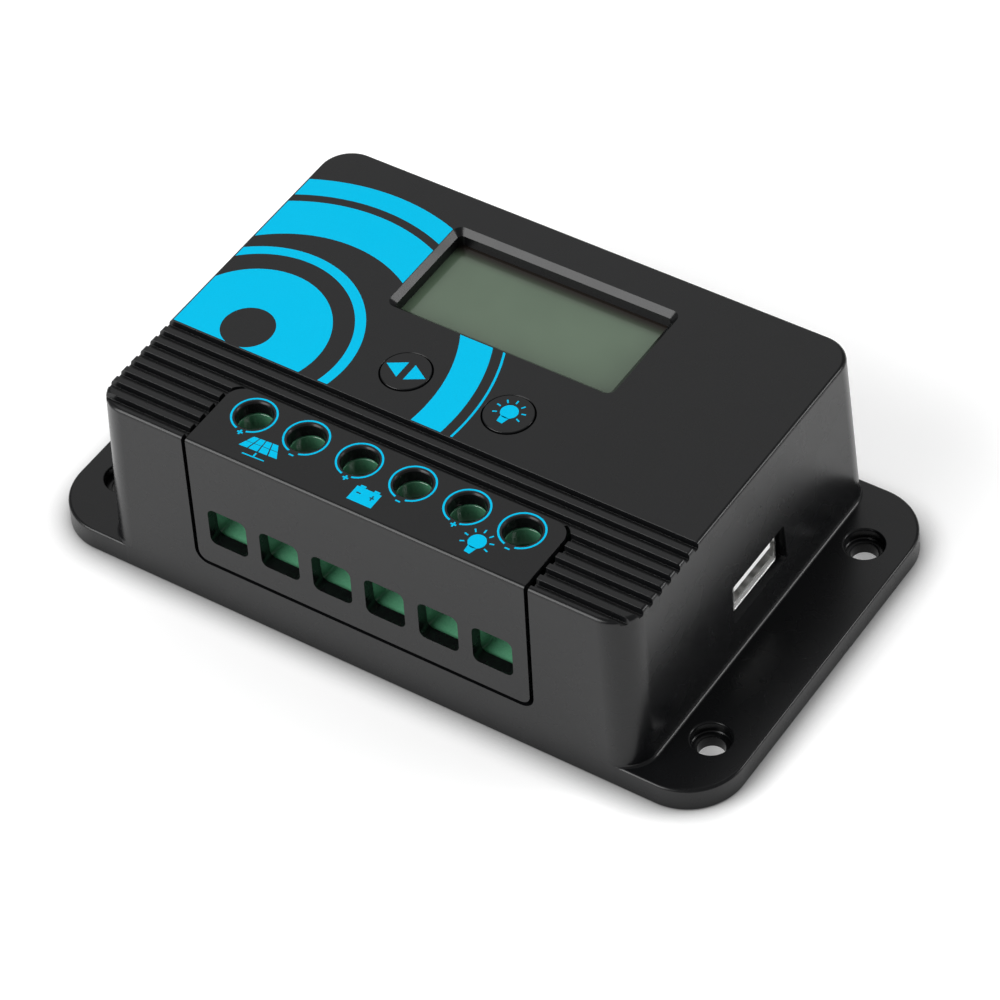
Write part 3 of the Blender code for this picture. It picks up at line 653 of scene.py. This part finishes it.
def flange_hole():
    """Cutter for a through hole and its counterbore, each with a rounded upper edge."""
    floor = FLANGE_T - COUNTERBORE_DEPTH
    wide = COUNTERBORE_R - COUNTERBORE_LIP
    return turned([(HOLE_R, -1.0), (HOLE_R, floor - HOLE_EDGE), (HOLE_R + 0.07, floor - 0.07),
                   (HOLE_R + HOLE_EDGE, floor), (wide - 0.15, floor), (wide, floor + 0.15),
                   (wide, FLANGE_T - COUNTERBORE_LIP), (wide + 0.03, FLANGE_T - 0.22),
                   (wide + 0.13, FLANGE_T - 0.09), (COUNTERBORE_R, FLANGE_T),
                   (COUNTERBORE_R, FLANGE_T + 0.5)], 64)


def usb_recess():
    """Cutter for the recess round the USB socket, flared where it meets the wall."""
    rings = []
    for x, grow in ((45.0, 0.0), (49.9, 0.0), (50.6, 0.0), (51.3, RECESS_FLARE),
                    (CUTTER_FAR, RECESS_FLARE)):
        outline = rounded_rectangle(RECESS_HALF_Y + grow, RECESS_HALF_Z + grow, RECESS_R, 6,
                                    (USB_Y, USB_Z))
        rings.append([(x, y, z) for y, z in outline])
    return loft(rings)


def make_case(mats):
    """Case moulding: box and flanges, inner bosses, ribs and every opening."""
    shell = solid("case_moulding", flange_solid())
    boolean(shell, body_solid(BODY_START_Z), "UNION")
    boolean(shell, cavity_solid())
    inside_top = HEIGHT - TOP_WALL + BOSS_SINK
    bosses = []
    for x, y in corners(CASE_SCREW_X, CASE_SCREW_Y):
        side = math.copysign(1, x)
        bosses.append(moved(turned([(CASE_BOSS_R, BASE_T + GAP), (CASE_BOSS_R, inside_top)], 32),
                            (x, y, 0)))
        web = sorted((x, side * (BODY_HALF_X - WALL + 0.3)))
        bosses.append(box((web[0], y - 1.0, BASE_T + GAP), (web[1], y + 1.0, inside_top)))
    half_y = (WINDOW_BACK_Y - WINDOW_FRONT_Y) / 2
    collar = rounded_rectangle(WINDOW_HALF_X + 0.4, half_y + 0.4, 1.2, 6, (0, WINDOW_Y))
    bosses.append(prism(collar, GLASS_TOP_Z + GAP, inside_top))
    for side in (-1, 1):
        bosses.append(moved(turned([(DISPLAY_BOSS_R, DISPLAY_TOP + GAP),
                                    (DISPLAY_BOSS_R, inside_top)], 24),
                            (side * DISPLAY_SCREW_X, DISPLAY_SCREW_Y, 0)))
    for boss in bosses:
        boolean(shell, boss, "UNION")
    grow = COVER_GROOVE
    front, top = cover_prisms(COVER_HALF_X + grow, COVER_BOTTOM_Z - grow, COVER_BACK_Y + GAP,
                              COVER_LOW_R + grow, COVER_BACK_R + GAP)
    opening = solid("opening", front)
    boolean(opening, top, "INTERSECT")
    cutter = bmesh.new()
    cutter.from_mesh(opening.data)
    bpy.data.objects.remove(opening)
    boolean(shell, cutter)
    boolean(shell, merged(groove_solids(BODY_HALF_X + 5)))
    holes = [window_solid(), usb_recess()]
    for x, y in corners(HOLE_X, HOLE_Y):
        holes.append(moved(flange_hole(), (x, y, 0)))
    seat = BUTTON_R + BUTTON_CLEARANCE
    for side in (-1, 1):
        holes.append(moved(turned([(seat, 31.0), (seat, HEIGHT - 0.06), (seat + 0.06, HEIGHT),
                                   (seat + 0.06, HEIGHT + 0.3)], 96),
                           (side * BUTTON_X, BUTTON_Y, 0)))
        holes.append(moved(turned([(DISPLAY_PILOT_R, 20.0), (DISPLAY_PILOT_R, 32.5)], 20),
                           (side * DISPLAY_SCREW_X, DISPLAY_SCREW_Y, 0)))
    for x, y in corners(CASE_SCREW_X, CASE_SCREW_Y):
        holes.append(moved(turned([(SCREW_PILOT_R, 0.0), (SCREW_PILOT_R, 15.0)], 24), (x, y, 0)))
    boolean(shell, merged(holes))
    place(shell, mats["case"], "controller", ["case_shell"], edge=0.09)


# ---- terminal cover -----------------------------------------------------
def wire_hole_cutter(x):
    """Square hole whose rounded mouth follows the drafted front."""
    rings = []
    outline = rounded_rectangle(WIRE_HOLE / 2, WIRE_HOLE / 2, WIRE_HOLE_R, 8, (x, WIRE_Z))
    rings.append([(px, -30.0, pz) for px, pz in outline])
    for step in range(MOUTH_STEPS, -1, -1):
        angle = math.radians(90 * step / MOUTH_STEPS)
        grow = WIRE_MOUTH_R * (1 - math.sin(angle))
        depth = WIRE_MOUTH_R * (1 - math.cos(angle)) - MOUTH_CLEAR
        outline = rounded_rectangle(WIRE_HOLE / 2 + grow, WIRE_HOLE / 2 + grow,
                                    WIRE_HOLE_R + grow, 8, (x, WIRE_Z))
        rings.append([(px, depth - body_half_y(pz), pz) for px, pz in outline])
    rings.append([(px, -45.0, pz) for px, pz in outline])
    return loft(rings)


def make_cover(mats):
    """Terminal cover, hollow from behind, with four snap tabs and its two rows of holes."""
    cover = solid("terminal_cover_moulding", body_solid(COVER_START_Z))
    front, top = cover_prisms(COVER_HALF_X, COVER_BOTTOM_Z, COVER_BACK_Y, COVER_LOW_R,
                              COVER_BACK_R)
    boolean(cover, front, "INTERSECT")
    boolean(cover, top, "INTERSECT")
    boolean(cover, box((-40, COVER_INNER_Y, 0), (40, 0, COVER_INNER_Z)))
    for side in (-1, 1):
        for z in COVER_TAB_Z:
            high = z + COVER_TAB_HEIGHT
            near = sorted((side * COVER_TAB_X, side * (COVER_HALF_X - 0.05)))
            far = sorted((side * COVER_TAB_X, side * (COVER_HALF_X + COVER_TAB_REACH)))
            boolean(cover, box((near[0], COVER_INNER_Y - 0.5, z), (near[1], -31.4, high)), "UNION")
            boolean(cover, box((far[0], -32.4, z), (far[1], -31.2, high)), "UNION")
    holes = []
    mouth = ACCESS_R + ACCESS_CHAMFER
    for index in range(POLES):
        x = pole_x(index)
        holes.append(moved(turned([(ACCESS_R, 30.0), (ACCESS_R, HEIGHT - ACCESS_CHAMFER - 0.1),
                                   (ACCESS_R + 0.04, HEIGHT - ACCESS_CHAMFER),
                                   (mouth - 0.04, HEIGHT - 0.03), (mouth + 0.06, HEIGHT),
                                   (mouth + 0.06, HEIGHT + 0.5)], 56), (x, SCREW_Y, 0)))
        holes.append(wire_hole_cutter(x))
    boolean(cover, merged(holes))
    place(cover, mats["cover"], "controller", ["terminal_cover"], edge=0.12)


def make_base(mats):
    """Base cover with its four standoffs and countersunk holes."""
    outline = rounded_rectangle(body_half_x(BASE_T) - WALL - GAP, body_half_y(BASE_T) - WALL - GAP,
                                CORNER_R - WALL, 12)
    cover = solid("base_cover_moulding", prism(outline, 0.0, BASE_T))
    for x, y in corners(BOARD_SCREW_X, BOARD_SCREW_Y):
        standoff = turned([(STANDOFF_R, 1.0), (STANDOFF_R, BOARD_Z - GAP)], 32)
        boolean(cover, moved(standoff, (x, y, 0)), "UNION")
    holes = []
    for x, y in corners(BOARD_SCREW_X, BOARD_SCREW_Y):
        pilot = turned([(SCREW_PILOT_R, BASE_T + 0.6), (SCREW_PILOT_R, 12.0)], 20)
        holes.append(moved(pilot, (x, y, 0)))
    for x, y in corners(CASE_SCREW_X, CASE_SCREW_Y):
        holes.append(moved(turned([(3.35, -0.2), (3.15, 0.0), (1.6, 1.55), (1.6, 3.0)], 40),
                           (x, y, 0)))
    boolean(cover, merged(holes))
    place(cover, mats["case"], "controller", ["base_cover"], edge=0.15)


# ---- terminals ----------------------------------------------------------
def make_block(name, node, first_pole, mats):
    """Two-pole terminal housing: cage chambers, screw wells and wire funnels."""
    centre = (pole_x(first_pole) + pole_x(first_pole + 1)) / 2
    middle_y = (BLOCK_FRONT_Y + BLOCK_BACK_Y) / 2
    outline = rounded_rectangle(PITCH - GAP / 2, BLOCK_BACK_Y - middle_y, 0.4, 4,
                                (centre, middle_y))
    block = solid(name, prism(outline, BOARD_TOP + GAP, BLOCK_TOP_Z))
    for pole in (first_pole, first_pole + 1):
        x = pole_x(pole)
        ceiling = CAGE_TOP_Z + CAGE_TRAVEL + GAP
        boolean(block, box((x - CHAMBER_HALF, SCREW_Y - CHAMBER_HALF, CHAMBER_LOW_Z),
                           (x + CHAMBER_HALF, SCREW_Y + CHAMBER_HALF, ceiling)))
        boolean(block, box((x - BAR_HALF_X - GAP, SCREW_Y + 4.0, 10.0),
                           (x + BAR_HALF_X + GAP, SCREW_Y + LEG_FAR + GAP, BAR_TOP_Z + GAP)))
        boolean(block, moved(turned([(WELL_R, 27.0), (WELL_R, BLOCK_TOP_Z - 0.08),
                                     (WELL_R + 0.08, BLOCK_TOP_Z), (WELL_R + 0.08, 36.0)], 48),
                             (x, SCREW_Y, 0)))
        rings = []
        for y, half in ((SCREW_Y - 4.0, TUNNEL_HALF), (FUNNEL_END_Y, TUNNEL_HALF),
                        (BLOCK_FRONT_Y - 0.5, FUNNEL_HALF)):
            mouth = rounded_rectangle(half, half, 0.4, 3, (x, WIRE_Z))
            rings.append([(mx, y, mz) for mx, mz in mouth])
        boolean(block, loft(rings))
    place(block, mats["green"], "controller", [node], edge=0.1)


def make_terminal_screw(index, mats):
    """Slotted screw with a ringed shank for its thread."""
    thread = []
    root = SHANK_R - THREAD_DEPTH
    step = (SCREW_HEAD_Z - SCREW_TIP_Z - 0.6) / THREAD_TURNS
    for turn in range(THREAD_TURNS):
        z = SCREW_TIP_Z + 0.4 + step * turn
        thread += [(SHANK_R, z), (SHANK_R, z + step * 0.15), (root, z + step * 0.5),
                   (root, z + step * 0.6)]
    profile = [(SHANK_R - 0.5, SCREW_TIP_Z), *thread, (SHANK_R, SCREW_HEAD_Z),
               (HEAD_R - 0.1, SCREW_HEAD_Z), (HEAD_R, SCREW_HEAD_Z + 0.1),
               (HEAD_R, SCREW_TOP_Z - 0.35), (HEAD_R - 0.1, SCREW_TOP_Z - 0.12),
               (HEAD_R - 0.3, SCREW_TOP_Z)]
    name = f"clamp_screw_{index + 1}"
    screw = solid(name, turned(profile, 48))
    boolean(screw, box((-HEAD_R - 0.35, -SLOT_HALF_WIDTH, SCREW_TOP_Z - SLOT_DEPTH),
                       (HEAD_R + 0.35, SLOT_HALF_WIDTH, SCREW_TOP_Z + 0.5)))
    screw.data.transform(Matrix.Translation((pole_x(index), SCREW_Y, 0)))
    place(screw, mats["steel"], f"screw_{index + 1}", [f"terminal_screw_{index + 1}"],
          edge=0.05)


# ---- display, buttons, USB ----------------------------------------------
def plate(name, half_x, half_y, centre, low, high, radius=0.3):
    return solid(name, prism(rounded_rectangle(half_x, half_y, radius, 4, centre), low, high))


def make_display(mats):
    """Two glass plates, the upper one short of the back edge, under a polariser film."""
    lower = plate("lcd_plate_lower", GLASS_HALF_X, GLASS_HALF_Y, (0, WINDOW_Y), GLASS_LOW_Z,
                  GLASS_LOW_Z + PLATE_T)
    upper = plate("lcd_plate_upper", GLASS_HALF_X, GLASS_HALF_Y - 0.5, (0, WINDOW_Y - 0.5),
                  GLASS_LOW_Z + PLATE_T + PLATE_GAP, GLASS_LOW_Z + 2 * PLATE_T)
    film = plate("lcd_film", GLASS_HALF_X - 0.3, GLASS_HALF_Y - 0.8, (0, WINDOW_Y - 0.5),
                 GLASS_LOW_Z + 2 * PLATE_T + PLATE_GAP, GLASS_TOP_Z, 0.4)
    place(lower, mats["glass"], "controller", ["lcd_glass"], edge=0.08)
    place(upper, mats["glass"], "controller", ["lcd_glass"], edge=0.08)
    place(film, mats["polariser"], "controller", ["lcd_glass"], edge=0.05)


def make_button(side_name, x, mats):
    """Round cap with a retaining rim under the case top."""
    top = HEIGHT + BUTTON_PROUD
    profile = [(BUTTON_RIM_R - 0.2, BUTTON_RIM_Z), (BUTTON_RIM_R, BUTTON_RIM_Z + 0.2),
               (BUTTON_RIM_R, BUTTON_RIM_Z + 0.8), (BUTTON_RIM_R - 0.2, BUTTON_RIM_Z + 1.0),
               (BUTTON_R + 0.1, BUTTON_RIM_Z + 1.0), (BUTTON_R, BUTTON_RIM_Z + 1.1)]
    steps = 6
    for step in range(steps + 1):
        angle = math.radians(90 * step / steps)
        profile.append((BUTTON_R - BUTTON_EDGE_R * (1 - math.cos(angle)),
                        top - BUTTON_EDGE_R * (1 - math.sin(angle))))
    cap = solid(f"button_{side_name}_cap", turned(profile, 96))
    cap.data.transform(Matrix.Translation((x, BUTTON_Y, 0)))
    place(cap, mats["cap"], f"button_{side_name}", [f"button_cap_{side_name}"],
          angle=40.0)


def usb_tube(inset, stations):
    """Solid along X with the socket's outline; each station is an x and a lip height."""
    rings = []
    for x, flare in stations:
        outline = rounded_rectangle(USB_HALF_Y - inset, USB_HALF_Z - inset + flare,
                                    0.6 - inset * 0.8, 6, (USB_Y, USB_Z))
        rings.append([(x, y, z) for y, z in outline])
    return loft(rings)


def make_usb(mats):
    """USB-A socket: folded steel can, moulded core with its tongue, four contact strips."""
    back = USB_MOUTH_X - USB_DEPTH
    bend = USB_MOUTH_X - USB_FLARE_LENGTH
    curl = USB_MOUTH_X - USB_FLARE_LENGTH / 2
    shell = solid("usb_can", usb_tube(0.0, ((back, 0.0), (bend, 0.0), (curl, USB_FLARE * 0.35),
                                            (USB_MOUTH_X, USB_FLARE))))
    boolean(shell, usb_tube(0.3, ((back + 0.4, 0.0), (bend, 0.0), (curl, USB_FLARE * 0.35),
                                  (USB_MOUTH_X, USB_FLARE), (USB_MOUTH_X + 1.0, USB_FLARE))))
    place(shell, mats["steel"], "controller", ["usb_shell"], edge=0.06)
    core = solid("usb_tongue", box((back + 0.7, USB_Y - CORE_HALF_Y, USB_Z - CORE_HALF_Z),
                                   (back + 4.2, USB_Y + CORE_HALF_Y, USB_Z + CORE_HALF_Z)))
    tongue = box((back + 2.0, USB_Y - TONGUE_HALF_Y, USB_Z + TONGUE_LOW),
                 (USB_MOUTH_X - TONGUE_SETBACK, USB_Y + TONGUE_HALF_Y, USB_Z + CORE_HALF_Z))
    boolean(core, tongue, "UNION")
    place(core, mats["white"], "controller", ["usb_insulator"], edge=0.12)
    for index, y in enumerate(CONTACT_YS, start=1):
        strip = solid(f"usb_contact_{index}",
                      box((back + 5.0, USB_Y + y - CONTACT_HALF_Y, USB_Z + 0.22),
                          (USB_MOUTH_X - 1.6, USB_Y + y + CONTACT_HALF_Y, USB_Z + 0.42)))
        place(strip, mats["steel"], "controller", ["usb_insulator"], edge=0.05)


# ---- screws -------------------------------------------------------------
def make_case_screw(index, x, y, mats):
    """Countersunk screw with a cross drive, its head down in the base cover."""
    profile = [(SINK_HEAD_R - 0.1, 0.1), (SINK_HEAD_R, 0.2), (SINK_HEAD_R, 0.35),
               (SINK_SHANK_R, 1.9), (SINK_SHANK_R, SINK_END_Z - 0.8),
               (SINK_SHANK_R / 2, SINK_END_Z)]
    screw = solid(f"countersunk_screw_{index}", turned(profile, 40))
    for cut in (box((-CROSS_REACH, -CROSS_HALF, -1.0), (CROSS_REACH, CROSS_HALF, 0.9)),
                box((-CROSS_HALF, -CROSS_REACH, -1.0), (CROSS_HALF, CROSS_REACH, 0.9)),
                turned([(0.75, -1.0), (0.6, 0.8)], 20)):
        boolean(screw, cut)
    screw.data.transform(Matrix.Translation((x, y, 0)))
    place(screw, mats["steel"], "controller", [f"case_screw_{index}"], edge=0.04)


# ---- printed marks ------------------------------------------------------
def sector(centre, inner, outer, start=0.0, sweep=360.0, step=2.5):
    """Outline points of an annular sector, from start over sweep degrees."""
    count = max(2, round(sweep / step))
    angles = [math.radians(start + sweep * i / count) for i in range(count + 1)]
    out = [(centre[0] + outer * math.cos(a), centre[1] + outer * math.sin(a)) for a in angles]
    back = [(centre[0] + inner * math.cos(a), centre[1] + inner * math.sin(a))
            for a in reversed(angles)]
    return out + back


def ring_solid(centre, inner, outer, low, high, segments=120):
    """A full flat ring, as a closed band with a square section."""
    bm = bmesh.new()
    section = ((outer, low), (outer, high), (inner, high), (inner, low))
    loops = []
    for step in range(segments):
        angle = math.tau * step / segments
        loops.append([bm.verts.new((centre[0] + radius * math.cos(angle),
                                    centre[1] + radius * math.sin(angle), z))
                      for radius, z in section])
    for step in range(segments):
        here = loops[step]
        ahead = loops[(step + 1) % segments]
        for i in range(4):
            j = (i + 1) % 4
            bm.faces.new((here[i], ahead[i], ahead[j], here[j]))
    bmesh.ops.recalc_face_normals(bm, faces=bm.faces)
    return bm


def ink(name, parts, mats, body="controller"):
    """Printed mark made of closed plates."""
    place(solid(name, merged(parts)), mats["ink"], body)


def flat(outline, surface_z=HEIGHT):
    return prism(outline, surface_z - INK_SUNK, surface_z + INK_PROUD)


def disc(centre, radius, segments=32):
    return [(centre[0] + radius * math.cos(math.tau * i / segments),
             centre[1] + radius * math.sin(math.tau * i / segments)) for i in range(segments)]


def rectangle(centre, half_x, half_y):
    return [(centre[0] - half_x, centre[1] - half_y), (centre[0] + half_x, centre[1] - half_y),
            (centre[0] + half_x, centre[1] + half_y), (centre[0] - half_x, centre[1] + half_y)]


def make_arcs(mats):
    """Plain concentric arcs on the left of the top face, kept clear of the window."""
    low = HEIGHT - INK_SUNK
    high = HEIGHT + INK_PROUD
    corner = (ART_LEFT_X, ART_FRONT_Y)
    left = (corner, (-10.0, 33.0))
    upper = ((ART_LEFT_X, 0.0), (ART_WINDOW_X, 33.0))
    right = ((-12.0, ART_FRONT_Y), (12.0, ART_WINDOW_Y))
    bands = (("inner", SMALL_ARCS, 4.6, 13.8, left), ("thin", SMALL_ARCS, 17.4, 19.2, left),
             ("middle", LARGE_ARCS, 24.2, 32.2, upper), ("outer", LARGE_ARCS, 33.8, 37.7, upper),
             ("right", LARGE_ARCS, 31.2, 36.8, right), ("line", LARGE_ARCS, 38.6, 39.0, right))
    for name, centre, inner, outer, (clip_low, clip_high) in bands:
        band = solid(f"print_arc_{name}", ring_solid(centre, inner, outer, low, high, 180))
        boolean(band, box((*clip_low, low - 1), (*clip_high, high + 1)), "INTERSECT")
        place(band, mats["ink"], "controller")


def bulb(centre, size, surface_z=HEIGHT):
    """Lamp symbol: globe, neck and rays."""
    x, y = centre
    parts = [flat(disc(centre, 1.5 * size), surface_z),
             flat([(x - 0.85 * size, y - 1.25 * size), (x - 0.75 * size, y - 2.6 * size),
                   (x + 0.35 * size, y - 2.75 * size), (x + 0.75 * size, y - 1.3 * size)],
                  surface_z)]
    for step in range(RAY_COUNT):
        angle = math.radians(RAY_FIRST_DEG - RAY_STEP_DEG * step)
        along = Vector((math.cos(angle), math.sin(angle)))
        across = Vector((-along.y, along.x)) * 0.13 * size
        near = Vector(centre) + along * 2.0 * size
        far = Vector(centre) + along * 2.75 * size
        parts.append(flat([tuple(near - across), tuple(far - across), tuple(far + across),
                           tuple(near + across)], surface_z))
    return parts


def panel_icon():
    """Solar panel symbol: leaning frame of eight cells on a stand."""
    top_left, top_right = Vector((-22.7, -28.9)), Vector((-18.1, -28.6))
    low_left, low_right = Vector((-24.0, -31.6)), Vector((-16.5, -31.3))
    parts = []
    columns, rows, bar = 4, 2, 0.07
    for row in range(rows):
        for column in range(columns):
            cell = []
            for u, v in ((column, row), (column + 1, row), (column + 1, row + 1),
                         (column, row + 1)):
                inset_u = bar if u == column else -bar
                inset_v = bar * 0.6 if v == row else -bar * 0.6
                share_u = (u + inset_u) / columns
                share_v = (v + inset_v) / rows
                near = low_left.lerp(low_right, share_u)
                cell.append(tuple(near.lerp(top_left.lerp(top_right, share_u), share_v)))
            parts.append(flat(cell))
    parts.append(flat([(-20.4, -32.55), (-20.1, -32.55), (-20.1, -31.75), (-20.4, -31.75)]))
    parts.append(flat([(-22.3, -32.9), (-18.2, -32.7), (-18.2, -32.5), (-22.3, -32.65)]))
    return parts


def battery_icon(mats):
    """Solid battery with two terminals and its poles left blank."""
    parts = [flat(rectangle((0.0, -31.2), 2.3, 1.55))]
    for side in (-1, 1):
        parts.append(flat(rectangle((side * 1.3, -29.42), 0.5, 0.2)))
    icon = solid("print_icon_battery", merged(parts))
    low, high = HEIGHT - 1, HEIGHT + 1
    boolean(icon, merged([prism(rectangle((-1.25, -30.9), 0.4, 0.13), low, high),
                          prism(rectangle((1.25, -30.9), 0.4, 0.13), low, high),
                          prism(rectangle((1.25, -30.55), 0.13, 0.2), low, high),
                          prism(rectangle((1.25, -31.25), 0.13, 0.2), low, high)]))
    place(icon, mats["ink"], "controller")


def make_prints(mats):
    make_arcs(mats)
    for index in range(POLES):
        x = pole_x(index)
        ring = sector((x, SCREW_Y), RING_IN, RING_OUT, -90 + RING_GAP_DEG, 360 - 2 * RING_GAP_DEG,
                      4.0)
        parts = [flat(ring)]
        if index % 2 == 0:
            cross = (x + 0.15, SCREW_Y - 4.15)
            parts.append(flat(rectangle(cross, 0.52, 0.15)))
            for side in (-1, 1):
                parts.append(flat(rectangle((cross[0], cross[1] + side * 0.345), 0.15, 0.175)))
        else:
            parts.append(flat(rectangle((x, SCREW_Y - 4.3), 0.45, 0.14)))
        ink(f"print_pole_{index + 1}", parts, mats)
    ink("print_icon_panel", panel_icon(), mats)
    battery_icon(mats)
    ink("print_icon_load", bulb((20.6, -30.4), 1.0), mats)
    cap_top = HEIGHT + BUTTON_PROUD
    ink("print_button_right", bulb((BUTTON_X - 0.1, BUTTON_Y + 0.4), 1.0, cap_top), mats,
        "button_right")
    arrows = []
    for side in (-1, 1):
        arrows.append(flat([(-BUTTON_X + side * 0.65, BUTTON_Y - 1.85),
                            (-BUTTON_X + side * 3.75, BUTTON_Y),
                            (-BUTTON_X + side * 0.65, BUTTON_Y + 1.85)], cap_top))
    ink("print_button_left", arrows, mats, "button_left")


# ---- pieces carried over from the CAD -----------------------------------
CARRIED = (
    ("clamp_cage_", "plated", 0.15), ("contact_", "copper", 0.12), ("display_board", "board", 0.1),
    ("lcd_holder", "epoxy", 0.15), ("lcd_backlight", "white", 0.2),
    ("lcd_zebra_strip", "rubber", 0.15), ("switch_body_", "steel", 0.15),
    ("switch_plunger_", "red", 0.1), ("main_board", "board", 0.1),
    ("heat_spreader", "aluminium", 0.2), ("mosfet_", "epoxy", 0.12), ("capacitor_", "sleeve", 0.1),
    ("inductor", "ferrite", 0.1), ("microcontroller", "epoxy", 0.1),
    ("current_shunt", "aluminium", 0.15), ("board_link", "epoxy", 0.15),
    ("board_screw_", "steel", 0.08), ("display_screw_", "steel", 0.06),
)


def dress_carried(nodes, mats):
    """Give the CAD nodes that have no finer piece their finish and softened edges."""
    for name, node in nodes.items():
        for stem, mat, edge in CARRIED:
            if name.startswith(stem):
                node.data.materials.clear()
                node.data.materials.append(mats[mat])
                soften(node, edge)


# ---- studio -------------------------------------------------------------
def area_light(name, direction, distance, size, radiance, glossy=True):
    """Square softbox with the given radiance, facing the object from a direction."""
    data = bpy.data.lights.new(name, "AREA")
    data.shape = "SQUARE"
    data.size = size
    data.energy = radiance * math.pi * size * size
    lamp = bpy.data.objects.new(name, data)
    away = Vector(direction).normalized()
    lamp.location = Vector(LIGHT_TARGET) + away * distance
    lamp.rotation_mode = "QUATERNION"
    lamp.rotation_quaternion = (-away).to_track_quat("-Z", "Y")
    lamp.visible_glossy = glossy
    bpy.context.scene.collection.objects.link(lamp)


def make_floor():
    """Pale floor with a painted contact shadow beside each piece, and painted light that keeps it
    pale where a flange hole shows it.
    """
    floor = solid("studio_floor", box((-FLOOR_HALF, -FLOOR_HALF, -20.0),
                                      (FLOOR_HALF, FLOOR_HALF, -FLOOR_CLEAR)))
    floor.data.transform(Matrix.Scale(MM, 4))
    n = Nodes("pale_floor")
    # painted contact shadow: ambient occlusion darkens the floor's colour and glow beside each
    # piece
    contact = n.add("ShaderNodeAmbientOcclusion", samples=12)
    contact.inputs["Distance"].default_value = CONTACT_SHADOW_REACH * MM
    # painted light: the floor is kept pale within each flange hole, where it really lies in shade
    quarter = n.add("ShaderNodeVectorMath", operation="ABSOLUTE")
    n.link(n.place, quarter.inputs[0])
    apart = n.add("ShaderNodeVectorMath", operation="DISTANCE")
    n.link(quarter.outputs["Vector"], apart.inputs[0])
    apart.inputs[1].default_value = (HOLE_X * MM, HOLE_Y * MM, 0.0)
    inside = n.add("ShaderNodeMath", operation="LESS_THAN")
    n.link(apart.outputs["Value"], inside.inputs[0])
    inside.inputs[1].default_value = (HOLE_R + GAP) * MM
    # the painted light in the holes overrides the painted contact shadow
    clear = n.add("ShaderNodeMath", operation="MAXIMUM")
    n.link(contact.outputs["AO"], clear.inputs[0])
    n.link(inside.outputs["Value"], clear.inputs[1])
    # the dark end of this ramp is the colour of the painted shadow
    tone = n.blend(clear.outputs["Value"], (0.20, 0.20, 0.20), (0.88, 0.88, 0.88), (0.48, 0.97))
    n.link(tone, n.shader.inputs["Base Color"])
    n.link(tone, n.shader.inputs["Emission Color"])
    n.shader.inputs["Emission Strength"].default_value = FLOOR_GLOW
    n.link(n.between(n.noise(4.0), 0.55, 0.65), n.shader.inputs["Roughness"])
    floor.data.materials.append(n.mat)


def make_studio():
    """Floor, softboxes, world and the camera at the solved viewpoint."""
    make_floor()
    area_light("key_softbox", (-0.42, -0.715, 0.546), distance=0.9, size=0.7, radiance=6.5)
    area_light("edge_softbox", (0.72, 0.55, 0.42), distance=0.9, size=0.26, radiance=9.5)
    area_light("floor_fill", (0.66, 0.55, 0.47), distance=0.9, size=0.7, radiance=3.0,
               glossy=False)
    area_light("top_softbox", (-0.42, 0.55, 0.72), distance=1.1, size=0.9, radiance=0.65)
    scene = bpy.context.scene
    world = bpy.data.worlds.new("studio")
    world.use_nodes = True
    background = world.node_tree.nodes["Background"]
    background.inputs["Color"].default_value = (1, 1, 1, 1)
    background.inputs["Strength"].default_value = WORLD_STRENGTH
    scene.world = world
    scene.view_settings.view_transform = "Standard"
    data = bpy.data.cameras.new("camera")
    data.lens = LENS
    data.sensor_width = SENSOR
    data.clip_start = 0.05
    data.clip_end = 20.0
    camera = bpy.data.objects.new("camera", data)
    azimuth = math.radians(AZIMUTH)
    elevation = math.radians(ELEVATION)
    back = Vector((math.sin(azimuth) * math.cos(elevation),
                   -math.cos(azimuth) * math.cos(elevation), math.sin(elevation)))
    camera.location = (Vector(TARGET) + back * DISTANCE) * MM
    camera.rotation_mode = "QUATERNION"
    level = (-back).to_track_quat("-Z", "Y")
    camera.rotation_quaternion = level @ Quaternion((0, 0, 1), math.radians(ROLL))
    scene.collection.objects.link(camera)
    scene.camera = camera


def main():
    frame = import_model()
    mats = make_materials()
    make_case(mats)
    make_cover(mats)
    make_base(mats)
    for group, name in enumerate(("solar", "battery", "load")):
        make_block(f"terminal_housing_{name}", f"terminal_block_{name}", 2 * group, mats)
    for index in range(POLES):
        make_terminal_screw(index, mats)
    make_display(mats)
    make_button("left", -BUTTON_X, mats)
    make_button("right", BUTTON_X, mats)
    make_usb(mats)
    for index, (x, y) in enumerate(corners(CASE_SCREW_X, CASE_SCREW_Y), start=1):
        make_case_screw(index, x, y, mats)
    make_prints(mats)
    dress_carried(frame["nodes"], mats)
    make_studio()


main()
